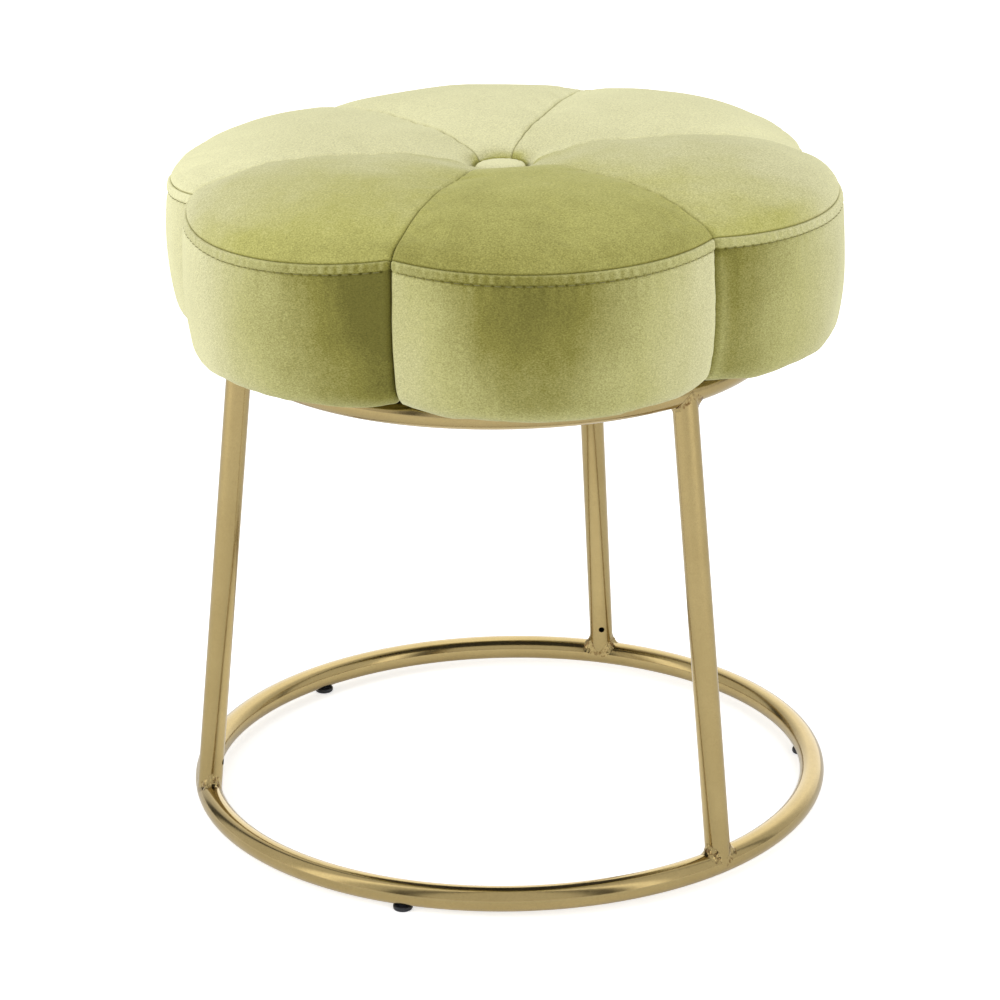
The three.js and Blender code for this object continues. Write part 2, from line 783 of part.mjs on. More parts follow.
// The dome of the button: a shell, open below, with its edge rolled in to a lip.
function buttonCap() {
  const rim = buttonBottomHeight + buttonShell;
  const rise = buttonThickness - buttonShell;
  const arc = (radius, height) =>
    Array.from({ length: domeSteps + 1 }, (unused, i) => {
      const turn = (i / domeSteps) * (Math.PI / 2);
      return [radius * Math.sin(turn), rim + height * Math.cos(turn)];
    });
  const profile = [
    ...arc(buttonLipRadius, rise - buttonShell),
    [buttonLipRadius, buttonBottomHeight],
    [buttonRadius - buttonShell / 2, buttonBottomHeight],
    ...arc(buttonRadius, rise).reverse(),
  ];
  return named("button_cap", turned(profile, roundSides), velvet);
}

function disc(outer, low, thickness) {
  const inner = cordDiameter / 2 + fit;
  return turned(
    [
      [inner, low],
      [outer, low],
      [outer, low + thickness],
      [inner, low + thickness],
      [inner, low],
    ],
    roundSides,
  );
}

function buttonBack() {
  return named("button_back", disc(buttonLipRadius - fit, buttonBottomHeight, buttonBackThickness), zinc);
}

function tuftAnchor() {
  return named("tuft_anchor", disc(anchorDiameter / 2, anchorHeight, anchorThickness), plastic);
}

// The cord that draws the button down, knotted inside the button.
function tuftCord() {
  const knot = buttonBottomHeight + buttonBackThickness + fit;
  const profile = [
    [0, anchorHeight],
    [cordDiameter / 2, anchorHeight],
    [cordDiameter / 2, knot],
    [knotDiameter / 2, knot],
    [knotDiameter / 2, knot + knotHeight / 2],
    [cordDiameter / 2, knot + knotHeight],
    [0, knot + knotHeight],
  ];
  return named("tuft_cord", turned(profile, boreSides), twine);
}

const frame = new THREE.Group();
frame.add(baseRing(), topRing(), ...legs(), ...legWelds(), ...feet(), ...mountPlates(), ...plateWelds());

const fixings = new THREE.Group();
fixings.add(...bolts(), ...washers(), ...nuts(), ...staples());

const seat = new THREE.Group();
seat.add(seatBoard(), dustCover(), foamCore(), ...petalTops(), ...petalSides());
seat.add(buttonCap(), buttonBack(), tuftCord(), tuftAnchor());

const group = new THREE.Group();
group.add(frame, fixings, seat);

export default group;
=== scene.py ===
"""Round upholstered stool: velvet, tufting and stitching over the CAD frame. Sizes are in millimetres until
a mesh is made."""

import math

import bmesh
import bpy
import numpy as np
from mathutils import Matrix, Vector
from mathutils.geometry import delaunay_2d_cdt


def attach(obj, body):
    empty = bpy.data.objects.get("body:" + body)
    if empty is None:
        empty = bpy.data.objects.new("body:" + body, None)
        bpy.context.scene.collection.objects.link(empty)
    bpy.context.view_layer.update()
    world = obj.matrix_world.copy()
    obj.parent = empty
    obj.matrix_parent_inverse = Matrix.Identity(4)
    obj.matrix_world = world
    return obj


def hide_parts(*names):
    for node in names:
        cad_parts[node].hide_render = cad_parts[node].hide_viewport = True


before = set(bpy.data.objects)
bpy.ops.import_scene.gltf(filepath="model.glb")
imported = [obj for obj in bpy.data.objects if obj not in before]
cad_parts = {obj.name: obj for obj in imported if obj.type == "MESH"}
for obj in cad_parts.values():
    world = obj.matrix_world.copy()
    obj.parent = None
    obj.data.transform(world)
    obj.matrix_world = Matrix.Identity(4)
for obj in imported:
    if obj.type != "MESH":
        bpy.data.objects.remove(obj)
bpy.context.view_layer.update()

MM = 0.001
TURN = 2 * math.pi
UP = np.array([0.0, 0.0, 1.0])
BODY = "root"

# Sizes of the CAD part that the detail is built on
FIT = 0.3
TUBE_RADIUS = 8.0
TUBE_WALL = 1.2
BASE_RING_RADIUS = 201.4
BASE_RING_HEIGHT = 11.5
TOP_RING_RADIUS = 168.8
TOP_RING_HEIGHT = 315.0
BASE_RING = (BASE_RING_RADIUS, BASE_RING_HEIGHT)
TOP_RING = (TOP_RING_RADIUS, TOP_RING_HEIGHT)
DRAIN_RADIUS = 2.1
DRAIN_RISE = 22.0
DRAIN_TURNS = {"back": math.radians(21), "left": math.radians(-22), "right": 0.0}
FOOT_DROP = 3.5
PETALS = 6
HALF_PETAL = math.pi / PETALS
VALLEY_RADIUS = 194.0
TIP_RADIUS = 215.7
DISH_RADIUS = 16.3
ROLL_BOTTOM = 321.5
RIM_HEIGHT = 417.6
RIM_TIP_DROP = 5.7
CROWN_RISE = 20.8
PETAL_SWELL = 5.1
SIDE_BULGE = 4.3
ROLL_INSET = 13.0
FLANGE_INSET = 23.0
FLANGE_WIDTH = 18.0
FLANGE_HEIGHT = 327.3
BOARD_INSET = 17.0
BOARD_TOP = 341.2
BOARD_BOTTOM = 329.2
DUST_COVER_INSET = 24.0
DUST_COVER_LOW = 326.6
DUST_COVER_THICKNESS = 0.4
STAPLE_INSET = 32.0
STAPLE_LOW = 325.6
BOLT_RADIUS = 147.8
NUT_RADIUS = 9.5
NUT_HEIGHT = 2.1
BUTTON_RADIUS = 16.0
BUTTON_BOTTOM = 419.8
BUTTON_TOP = 426.2
CORD_RADIUS = 1.8
LEG_ANGLES = {"back": TURN / 4, "left": TURN * 7 / 12, "right": TURN * 11 / 12}
FOOT_ANGLES = {"right": TURN / 12, "left": TURN * 5 / 12, "front": TURN * 3 / 4}

# How far the tip of each petal, and the valley after it, stands above the even form, from the petal
# on +X round, as hand stuffing leaves them, and how far the roll under the seat is drawn up in the valleys
TIP_LIFTS = np.array([3.0, 0.0, -4.2, -1.5, 0.0, 4.5])
CREASE_LIFTS = np.array([0.0, 2.0, 0.0, 0.0, 0.0, 0.0])
VALLEY_LIFT = 3.5

# The crown and the side of the seat, as in the CAD part
CROWN_SHARES = np.array(
    [
        [0.25, 0, 0.07, 0, 0],
        [1, 0, 0.09, 0, 0],
        [1, 0.009, 0.28, 0.04, 0],
        [1, 0.049, 0.587, 0.12, 0],
        [1, 0.138, 0.774, 0.3, 0],
        [1, 0.245, 0.923, 0.65, 0],
        [1, 0.387, 0.966, 0.93, 0],
        [1, 0.533, 1, 1, 0],
        [1, 0.64, 0.96, 0.95, 0],
        [1, 0.747, 0.875, 0.75, 0],
        [1, 0.836, 0.72, 0.55, 0],
        [1, 0.921, 0.466, 0.4, 0.06],
        [1, 0.966, 0.26, 0.25, 0.25],
        [1, 1, 0, 0, 1],
    ]
)
SIDE_SHARES = [(0, 0), (0.5, 0.05), (0.8, 0.18), (1, 0.4), (0.85, 0.6), (0.25, 0.8)]
ROLL_SHARES = [(0.15, 0.92), (0.6, 0.985), (1, 1)]

# Welds
WELD_SIZE = 4.6
WELD_RIPPLE = 2.4
WELD_SUNK = 0.8  # how far a bead's root is inside the tubes
PLATE_BEAD_SIZE = 1.9
PLATE_BEAD_LENGTH = 28.0

# Velvet, seams and stitches
CLOTH = 1.2  # thickness of a panel
SEAM_GAP = 0.03  # from a panel's edge to the seam's middle
PANEL_COLUMNS = 200
ROW_FINE = 0.6
ROW_COARSE = 2.4
FINE_REACH = 12.0  # fine rows this far on each side of the rim seam
TOPSTITCH_DROP = 7.0
STITCH_PITCH = 6.1
THREAD_RADIUS = 0.32

# Wire, cord and screw holes
STAPLE_WIRE = 0.36
STAPLE_PATH = np.array([(-4.65, 5.5), (-4.65, 0.6), (-4.3, 0.3), (4.3, 0.3), (4.65, 0.6), (4.65, 5.5)])
CORD_THICKNESS = 1.35
CORD_PITCH = 9.0
CORD_STRANDS = 3
SCREW_HOLE = 3.4

# Facets
RING_STEPS = 256
TUBE_SIDES = 64
FOOT_SIDES = 64
WELD_STEPS = 300
BUTTON_SIDES = 96
FOAM_COLUMNS = 144
DUST_COVER_CELL = 5.0
DRAIN_CELLS = 6  # facets of a leg across its drain hole


# Meshes
SHARP_ANGLE = math.radians(50)


def face_outward(mesh):
    shape = bmesh.new()
    shape.from_mesh(mesh)
    bmesh.ops.recalc_face_normals(shape, faces=shape.faces)
    shape.to_mesh(mesh)
    shape.free()


def mesh_object(name, points, faces, material, closed=True):
    mesh = bpy.data.meshes.new(name)
    mesh.from_pydata((np.asarray(points, float).reshape(-1, 3) * MM).tolist(), [], faces)
    mesh.validate()
    if closed:
        face_outward(mesh)
    mesh.shade_smooth()
    mesh.set_sharp_from_angle(angle=SHARP_ANGLE)
    mesh.materials.append(material)
    obj = bpy.data.objects.new(name, mesh)
    bpy.context.scene.collection.objects.link(obj)
    return obj


def grid_faces(rows, columns, start=0, close_rows=False, close_columns=False):
    """Quads between neighbouring rows and columns of a grid of points."""
    lower = np.arange(rows if close_rows else rows - 1)
    left = np.arange(columns if close_columns else columns - 1)
    row, column = np.meshgrid(lower, left, indexing="ij")
    below = (row + 1) % rows
    beside = (column + 1) % columns
    corners = [(row, column), (below, column), (below, beside), (row, beside)]
    return np.stack([start + r * columns + c for r, c in corners], axis=-1).reshape(-1, 4).tolist()


def rods(name, tubes, material):
    """One mesh of rods with closed ends, each a grid of points in rings."""
    faces = []
    for i, tube in enumerate(tubes):
        rows, sides = tube.shape[:2]
        start = i * rows * sides
        faces += grid_faces(rows, sides, start, close_columns=True)
        faces += [[start + row * sides + side for side in range(sides)] for row in (0, rows - 1)]
    return mesh_object(name, np.concatenate(tubes), faces, material)


def shell(name, outer, inner, faces, material):
    """A solid between two layers of points, with a wall along every open edge of the layers' faces."""
    count = outer.size // 3
    edges = dict.fromkeys((a, b) for face in faces for a, b in zip(face, [*face[1:], face[0]]))
    wall = [(a, count + a, count + b, b) for a, b in edges if (b, a) not in edges]
    points = np.concatenate([outer.reshape(-1, 3), inner.reshape(-1, 3)])
    inner_faces = [[count + i for i in face] for face in faces]
    return mesh_object(name, points, [*faces, *inner_faces, *wall], material)


def even_turns(count):
    """Angles once round, at even steps."""
    return np.arange(count) * TURN / count


def around(angles, radius, height=0.0):
    """Points at given angles round the vertical axis, distances from it and heights."""
    return np.stack(np.broadcast_arrays(radius * np.cos(angles), radius * np.sin(angles), height), axis=-1)


def ring_around(centres, outward, upward, radii, sides):
    """Circles of points round a line: rows along the line, columns round it."""
    turn = even_turns(sides)[:, None]
    outward, upward = (np.broadcast_to(way, centres.shape)[:, None] for way in (outward, upward))
    spread = np.cos(turn) * outward + np.sin(turn) * upward
    return centres[:, None] + spread * np.broadcast_to(radii, (len(centres), sides))[:, :, None]


def turned(points, angle):
    """Points turned about the vertical axis."""
    c, s = math.cos(angle), math.sin(angle)
    return np.asarray(points) @ np.array([[c, s, 0], [-s, c, 0], [0, 0, 1]])


def fixed(obj, slot_name, *nodes):
    """A piece of the one rigid body, shown in place of its CAD nodes."""
    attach(obj, BODY)
    if nodes:
        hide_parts(*nodes)
    return obj


def from_axis(points):
    """Distance of points from the vertical axis."""
    return np.linalg.norm(points[..., :2], axis=-1)


def unit(vectors):
    return vectors / np.maximum(np.linalg.norm(vectors, axis=-1, keepdims=True), 1e-9)


def smooth_step(low, high, value):
    share = np.clip((value - low) / (high - low), 0, 1)
    return share * share * (3 - 2 * share)


def bell(middle, width, value):
    """1 where the value is at the middle, 0 well away from it on both sides."""
    return np.exp(-(((value - middle) / width) ** 2))


def fading(start, reach, value):
    """1 up to the start, then falling away to 0."""
    return np.exp(-np.maximum(value - start, 0) / reach)


def waves(points, length, seed, stretch=(1, 1, 1), count=18):
    """Smooth random unevenness from -1 to 1, with waves of about the given length."""
    rng = np.random.default_rng(seed)
    directions = unit(rng.normal(size=(count, 3)))
    lengths = length * rng.uniform(0.7, 1.5, count)
    steps = directions * (TURN / lengths)[:, None] / np.array(stretch)
    phases = rng.uniform(0, TURN, count)
    flat = np.asarray(points).reshape(-1, 3)
    total = np.sin(flat @ steps.T + phases).sum(axis=1) / math.sqrt(count / 2)
    return np.clip(total / 1.6, -1, 1).reshape(np.asarray(points).shape[:-1])


# Materials
class Nodes:
    """Short ways to add and link the nodes of a material or a world."""

    def __init__(self, tree):
        self.tree = tree

    def put(self, socket, value):
        """Link an output to a socket, or set the socket's own value."""
        if isinstance(value, bpy.types.NodeSocket):
            self.tree.links.new(value, socket)
        elif socket.type == "RGBA":
            socket.default_value = (*value, 1.0)
        else:
            socket.default_value = value

    def add(self, kind, inputs=None, **settings):
        node = self.tree.nodes.new("ShaderNode" + kind)
        for name, value in settings.items():
            setattr(node, name, value)
        for socket, value in (inputs or {}).items():
            self.put(node.inputs[socket], value)
        return node

    def scaled(self, value, low, high, start=0.3, end=0.7):
        ends = {"From Min": start, "From Max": end, "To Min": low, "To Max": high}
        return self.add("MapRange", {"Value": value, **ends}).outputs["Result"]

    def mixed(self, factor, first, second, mode="MIX"):
        return self.add("Mix", {0: factor, 6: first, 7: second}, data_type="RGBA", blend_type=mode).outputs[2]

    def tinted(self, first, second):
        return self.mixed(1.0, first, second, "MULTIPLY")

    def math(self, operation, *values):
        return self.add("Math", dict(enumerate(values)), operation=operation).outputs[0]

    def seen(self):
        """1 for what the camera sees, also through something clear, and 1 for what a surface mirrors."""
        path = self.add("LightPath").outputs
        return self.math("MAXIMUM", path["Is Camera Ray"], path["Is Transmission Ray"]), path["Is Glossy Ray"]


class Surface(Nodes):
    """A material, with its shader and the place of each point in its object."""

    def __init__(self, name):
        self.material = bpy.data.materials.new(name)
        self.material.use_nodes = True
        super().__init__(self.material.node_tree)
        self.shader = self.tree.nodes["Principled BSDF"]
        self.place = self.add("TexCoord").outputs["Object"]

    def noise(self, scale, detail, roughness, stretch=None):
        place = self.place
        if stretch:
            place = self.add("Mapping", {"Vector": place, "Scale": stretch}).outputs["Vector"]
        inputs = {"Vector": place, "Scale": scale, "Detail": detail, "Roughness": roughness}
        return self.add("TexNoise", inputs).outputs["Fac"]

    def bump(self, height, distance, strength, under=None):
        inputs = {"Height": height, "Distance": distance * MM, "Strength": strength}
        if under is not None:
            inputs["Normal"] = under
        return self.add("Bump", inputs).outputs["Normal"]

    def curve(self, value, points):
        node = self.add("FloatCurve", {"Value": value})
        line = node.mapping.curves[0]
        line.points[0].location = points[0]
        line.points[1].location = points[-1]
        for point in points[1:-1]:
            line.points.new(*point)
        node.mapping.update()
        return node.outputs["Value"]

    def ramp(self, value, colours):
        node = self.add("ValToRGB", {"Fac": value})
        first, last = node.color_ramp.elements
        first.position, first.color = colours[0][0], (*colours[0][1], 1)
        last.position, last.color = colours[-1][0], (*colours[-1][1], 1)
        for position, colour in colours[1:-1]:
            node.color_ramp.elements.new(position).color = (*colour, 1)
        return node.outputs["Color"]

    def attribute(self, name, output="Fac"):
        return self.add("Attribute", attribute_name=name).outputs[output]

    def shaded(self, values):
        for name, value in values.items():
            self.put(self.shader.inputs[name], value)
        return self.material


# Velvet's colour as its pile turns from straight on (first) to lying along the line of sight (last): a
# painted sheen, pale where the pile is seen along its lean
TOP_COLOURS_WITH_PAINTED_SHEEN = (
    (0.0, (0.135, 0.125, 0.028)),
    (0.12, (0.215, 0.2, 0.048)),
    (0.36, (0.43, 0.415, 0.135)),
    (0.66, (0.58, 0.56, 0.32)),
    (1.0, (0.76, 0.74, 0.45)),
)
SIDE_COLOURS_WITH_PAINTED_SHEEN = (*TOP_COLOURS_WITH_PAINTED_SHEEN[:2], (0.36, (0.43, 0.415, 0.175)), *TOP_COLOURS_WITH_PAINTED_SHEEN[3:])
# Painted shade: the tint that darkens the velvet in the bottom of its seams and needle holes
PAINTED_SEAM_SHADE = (0.4, 0.38, 0.2)
# How far the pile has turned for how far its lean has turned from the line of sight, which sets the painted
# sheen
TOP_TURNS = (
    *((0, 0.2), (0.2, 0.25), (0.32, 0.28), (0.44, 0.34)),
    *((0.56, 0.5), (0.68, 0.68), (0.86, 0.86), (1, 0.95)),
)
SIDE_TURNS = (
    *((0, 0), (0.03, 0.01), (0.12, 0.18), (0.22, 0.31)),
    *((0.4, 0.49), (0.6, 0.7), (0.8, 0.9), (1, 0.95)),
)
WHITE = (1.0, 1.0, 1.0)


def velvet_material(name, turns, colours):
    """Short pile: dark where the eye looks down into it, pale where it is seen along its lean, which paints
    the velvet's sheen into its colour. Each mesh says at every point which way its pile leans, how far it is
    brushed over, with painted light and shade added to that, and how deep in a seam it is, where the colour
    is darkened as painted shade."""
    made = Surface(name)
    facing = made.add("LayerWeight", {"Blend": 0.5, "Normal": made.attribute("pile", "Vector")})
    grain = made.noise(900, 2, 0.7, (1.0, 1.0, 1.5))
    mottle = made.noise(280, 3, 0.65)
    # the painted sheen: where along the colour ramp the pile's facing puts each point
    turn = made.curve(facing.outputs["Facing"], turns)
    for part in (
        made.attribute("brushed_and_painted_light"),
        made.scaled(made.noise(12, 3, 0.55), -0.055, 0.055),
        made.scaled(made.noise(40, 4, 0.6, (1.0, 1.0, 0.3)), -0.03, 0.03),
        made.scaled(mottle, -0.015, 0.015),
        made.scaled(grain, -0.03, 0.03),
    ):
        turn = made.math("ADD", turn, part)
    speckle = made.mixed(made.scaled(turn, 0.0, 0.6, 0.6, 1.0), made.scaled(grain, 0.79, 1.21), WHITE)
    colour = made.tinted(made.ramp(turn, colours), speckle)
    # painted shade in the seams and needle holes, read from the seam attribute
    painted_shade = made.mixed(made.attribute("seam"), WHITE, PAINTED_SEAM_SHADE)
    return made.shaded(
        {
            "Base Color": made.tinted(colour, painted_shade),
            "Normal": made.bump(mottle, 0.25, 0.3, made.bump(grain, 0.3, 0.5)),
            "Roughness": 0.95,
            "Specular IOR Level": 0.12,
            "Sheen Weight": 0.1,
            "Sheen Roughness": 0.35,
            "Sheen Tint": (0.93, 0.95, 0.62),
        }
    )


def gold_material(name, hollow_shade_share, roughness, relief):
    """Champagne gold with slight unevenness of the coat. The welds are smoother and lumpier than the tube,
    and browner where their lumps are low, as painted shade in their hollows."""
    made = Surface(name)
    cloud = made.noise(22, 3, 0.6)
    speck = made.noise(900, 2, 0.6)
    lumps = made.noise(260, 3, 0.6)
    tint = made.mixed(made.scaled(cloud, 0.0, 1.0), (0.425, 0.32, 0.135), (0.475, 0.363, 0.16))
    # painted shade: browner where the lumps, and with them the bump, are low
    painted_hollow_shade = made.mixed(made.scaled(lumps, hollow_shade_share, 0.0, 0.38, 0.5), WHITE, (0.3, 0.17, 0.06))
    colour = made.tinted(made.tinted(tint, painted_hollow_shade), made.scaled(speck, 0.95, 1.05))
    uneven = made.mixed(0.5, made.noise(130, 2, 0.5), lumps)
    return made.shaded(
        {
            "Base Color": colour,
            "Roughness": made.scaled(cloud, roughness, roughness + 0.08),
            "Normal": made.bump(uneven, relief, 0.5, made.bump(speck, 0.01, 0.25)),
            "Metallic": 1.0,
            "Coat Weight": 0.2,
            "Coat Roughness": 0.08,
        }
    )


def plain_material(name, colour, roughness, metallic=0.0, scale=400.0, depth=0.02):
    """A solid colour with a fine unevenness in its tone, gloss and surface."""
    made = Surface(name)
    fine = made.noise(scale, 3, 0.6)
    return made.shaded(
        {
            "Base Color": made.tinted(colour, made.scaled(made.noise(scale / 12, 3, 0.6), 0.88, 1.12)),
            "Roughness": made.scaled(fine, roughness * 0.85, roughness * 1.15),
            "Normal": made.bump(fine, depth, 0.6),
            "Metallic": metallic,
        }
    )


def cloth_material(name, colour, pitch, depth):
    """A thin non-woven or twisted cloth: crossing fibres."""
    made = Surface(name)
    across, along = (made.noise(1000 / pitch, 2, 0.6, way) for way in ((1.0, 0.25, 1.0), (0.25, 1.0, 1.0)))
    fibres = made.mixed(0.5, across, along)
    tone = made.tinted(colour, made.scaled(fibres, 0.7, 1.3))
    return made.shaded({"Base Color": tone, "Normal": made.bump(fibres, depth, 0.8), "Roughness": 0.95})


def plywood_material():
    made = Surface("raw_plywood")
    grain = made.noise(60, 6, 0.65, (1.0, 0.06, 1.0))
    waves_of_plies = {"Vector": made.place, "Scale": 90, "Distortion": 0.6}
    plies = made.add("TexWave", waves_of_plies, bands_direction="Z")
    wood = made.mixed(made.scaled(grain, 0.0, 1.0), (0.42, 0.27, 0.13), (0.62, 0.45, 0.25))
    layered = made.tinted(wood, made.scaled(plies.outputs["Fac"], 0.8, 1.05, 0.0, 1.0))
    return made.shaded({"Base Color": layered, "Normal": made.bump(grain, 0.1, 0.5), "Roughness": 0.7})


TOP_VELVET = velvet_material("velvet_of_the_top", TOP_TURNS, TOP_COLOURS_WITH_PAINTED_SHEEN)
SIDE_VELVET = velvet_material("velvet_of_the_side", SIDE_TURNS, SIDE_COLOURS_WITH_PAINTED_SHEEN)
THREAD = plain_material("velvet_thread", (0.15, 0.14, 0.04), 0.7, scale=1500, depth=0.05)
GOLD = gold_material("satin_gold", 0.03, 0.13, 0.05)
WELD_GOLD = gold_material("welded_gold", 0.8, 0.08, 0.6)
BORE = plain_material("raw_tube_bore", (0.02, 0.018, 0.016), 0.6, 0.3)
PLASTIC = plain_material("black_plastic", (0.012, 0.014, 0.02), 0.3)
ZINC = plain_material("bright_zinc", (0.62, 0.63, 0.66), 0.32, 1.0)
PLYWOOD = plywood_material()
FOAM = plain_material("cut_foam", (0.85, 0.76, 0.52), 0.95, scale=900, depth=0.3)
CAMBRIC = cloth_material("dust_cover_cloth", (0.045, 0.045, 0.048), 0.8, 0.15)
TWINE = cloth_material("polyester_twine", (0.72, 0.66, 0.5), 0.5, 0.2)


# Seat form
PETAL_CENTRE = (TIP_RADIUS**2 - VALLEY_RADIUS**2) / (2 * (TIP_RADIUS - VALLEY_RADIUS * math.cos(HALF_PETAL)))
PETAL_ARC = TIP_RADIUS - PETAL_CENTRE


def petal_local(angles):
    return angles - np.round(angles / (2 * HALF_PETAL)) * 2 * HALF_PETAL


def rim_radius(angles):
    local = petal_local(angles)
    return PETAL_CENTRE * np.cos(local) + np.sqrt(PETAL_ARC**2 - (PETAL_CENTRE * np.sin(local)) ** 2)


def spline_weights(count, shares):
    """How much each of a curve's points counts at each share of the way along it (Catmull-Rom)."""
    place = (count - 1) * np.clip(shares, 0, 1)
    index = np.floor(place).astype(int)
    w = place - index
    weights = np.zeros((len(shares), count))
    cubics = (
        -0.5 * w**3 + w**2 - 0.5 * w,
        1.5 * w**3 - 2.5 * w**2 + 1,
        -1.5 * w**3 + 2 * w**2 + 0.5 * w,
        0.5 * w**3 - 0.5 * w**2,
    )
    for step, cubic in enumerate(cubics, start=-1):
        np.add.at(weights, (np.arange(len(shares)), np.clip(index + step, 0, count - 1)), cubic)
    return weights


def seat_surface(places, angles):
    """The velvet's outer surface as drawn in the CAD part: place 0 at the middle, 1 at the rim seam, 2
    at the end of the flange under the board."""
    places = np.asarray(places)
    fullness = 1 - (petal_local(angles) / HALF_PETAL) ** 2
    petal = angles / (2 * HALF_PETAL)
    lift = fullness * TIP_LIFTS[np.round(petal).astype(int) % PETALS]
    lift += (1 - fullness) * CREASE_LIFTS[np.floor(petal).astype(int) % PETALS]
    rim = rim_radius(angles)
    crown = places <= 1
    weights = spline_weights(len(CROWN_SHARES), places[crown]) @ CROWN_SHARES
    dish, reach, seam, swell, droop = (weights[:, i, None] for i in range(5))
    crown_radius = dish * DISH_RADIUS + reach * (rim - DISH_RADIUS)
    crown_height = RIM_HEIGHT + seam * CROWN_RISE + (swell * PETAL_SWELL - droop * RIM_TIP_DROP) * fullness
    crown_height += smooth_step(0.35, 0.85, places[crown])[:, None] * lift
    top = RIM_HEIGHT - RIM_TIP_DROP * fullness + lift
    roll = ROLL_BOTTOM + VALLEY_LIFT * (1 - fullness) ** 3
    drop = top - roll
    flange = np.full_like(rim, FLANGE_HEIGHT)
    out = [share * SIDE_BULGE for share, down in SIDE_SHARES]
    out += [-share * ROLL_INSET for share, down in ROLL_SHARES]
    out += [-(ROLL_INSET + FLANGE_INSET) / 2, -FLANGE_INSET, -FLANGE_INSET - FLANGE_WIDTH]
    heights = [top - down * drop for share, down in SIDE_SHARES + ROLL_SHARES]
    heights += [(roll + FLANGE_HEIGHT) / 2, flange, flange]
    weights = spline_weights(len(out), places[~crown] - 1)
    side_radius = rim + (weights @ out)[:, None]
    side_height = weights @ np.array(heights)
    radius = np.concatenate([crown_radius, side_radius])
    height = np.concatenate([crown_height, side_height])
    return around(angles, radius, height)


def surface_normals(points):
    return unit(np.cross(np.gradient(points, axis=0), np.gradient(points, axis=1)))


def lengths_along(points, axis):
    """Distance travelled from the first point along a grid's rows or columns."""
    steps = np.linalg.norm(np.diff(points, axis=axis), axis=-1)
    start = np.zeros_like(np.take(steps, [0], axis=axis))
    return np.cumsum(np.concatenate([start, steps], axis=axis), axis=axis)


def rows_spaced(fine, coarse, reach, start_place=0.0):
    """Places from the middle to the flange, closer together near the rim seam."""
    table = np.concatenate([np.linspace(start_place, 1, 900), np.linspace(1, 2, 901)[1:]])
    line = seat_surface(table, np.array([HALF_PETAL / 2]))
    travelled = lengths_along(line, 0)[:, 0]
    rim = np.interp(1, table, travelled)

    def steps(total):
        marks = [0.0]
        while marks[-1] < total:
            spare = max(0.0, marks[-1] - reach)
            marks.append(marks[-1] + min(coarse, fine + 0.18 * spare))
        return np.array(marks) * total / marks[-1]

    up = rim - steps(rim)[::-1]
    down = rim + steps(travelled[-1] - rim)
    places = np.interp(np.concatenate([up, down[1:]]), travelled, table)
    places[len(up) - 1] = 1
    return places, len(up) - 1


# Cloth simulation: the velvet is a little larger than the foam and is held at every seam
SIM_COLUMNS = 40  # in a petal
SIM_ROW = 5.0
SIM_FRAMES = 20
SIM_LIMIT = 1.1
PINNED_RADIUS = 34.0
SIM_SETTINGS = {
    "quality": 6,
    "mass": 0.25,
    "tension_stiffness": 18,
    "compression_stiffness": 12,
    "shear_stiffness": 6,
    "bending_stiffness": 0.4,
    "shrink_min": -0.01,
    "use_pressure": True,
    "uniform_pressure_force": 0.8,
}


def simulated_movement():
    """How far the velvet moves from its drawn form, on a coarse grid of places and angles."""
    places, rim_row = rows_spaced(SIM_ROW, SIM_ROW, 0.0, 0.1)
    columns = SIM_COLUMNS * PETALS
    angles = even_turns(columns)
    start = seat_surface(places, angles)
    below = lengths_along(start, 0)
    below -= below[rim_row].copy()
    on_seam = np.isclose(np.abs(petal_local(angles)), HALF_PETAL, atol=1e-6)
    pinned = on_seam | (np.abs(below) < 1) | (from_axis(start) < PINNED_RADIUS)
    pinned |= np.abs(below - TOPSTITCH_DROP) < SIM_ROW / 2
    pinned |= below > below[-1] - FLANGE_WIDTH - ROLL_INSET / 2
    faces = grid_faces(len(places), columns, close_columns=True)
    obj = mesh_object("cloth_grid", start, faces, TOP_VELVET, closed=False)
    group = obj.vertex_groups.new(name="sewn")
    group.add(np.flatnonzero(pinned.ravel()).tolist(), 1.0, "REPLACE")
    cloth = obj.modifiers.new("cloth", "CLOTH")
    for setting, value in SIM_SETTINGS.items():
        setattr(cloth.settings, setting, value)
    cloth.settings.vertex_group_mass = group.name
    cloth.settings.effector_weights.gravity = 0
    cloth.point_cache.frame_start = 1
    cloth.point_cache.frame_end = SIM_FRAMES
    for step in range(1, SIM_FRAMES + 1):
        bpy.context.scene.frame_set(step)
    settled = obj.evaluated_get(bpy.context.evaluated_depsgraph_get()).data
    flat = np.empty(len(settled.vertices) * 3)
    settled.vertices.foreach_get("co", flat)
    moved = flat.reshape(start.shape) / MM - start
    bpy.data.objects.remove(obj)
    bpy.context.scene.frame_set(1)
    size = np.linalg.norm(moved, axis=2, keepdims=True)
    print("cloth movement", round(float(size.max()), 2), "mean", round(float(size.mean()), 2))
    return places, moved * np.tanh(size / SIM_LIMIT) * SIM_LIMIT / np.maximum(size, 1e-6)


def movement_at(movement, places, angles):
    """The simulated movement, read between the points of its grid."""
    sim_places, moved = movement
    columns = moved.shape[1]
    row = np.interp(places, sim_places, np.arange(len(sim_places)))
    low = np.minimum(row.astype(int), len(sim_places) - 2)
    row_share = (row - low)[:, None, None]
    column = (angles / TURN * columns) % columns
    left = column.astype(int) % columns
    right = (left + 1) % columns
    share = (column - np.floor(column))[None, :, None]
    share = share * share * (3 - 2 * share)
    upper, lower = (moved[at][:, left] * (1 - share) + moved[at][:, right] * share for at in (low, low + 1))
    return upper * (1 - row_share) + lower * row_share


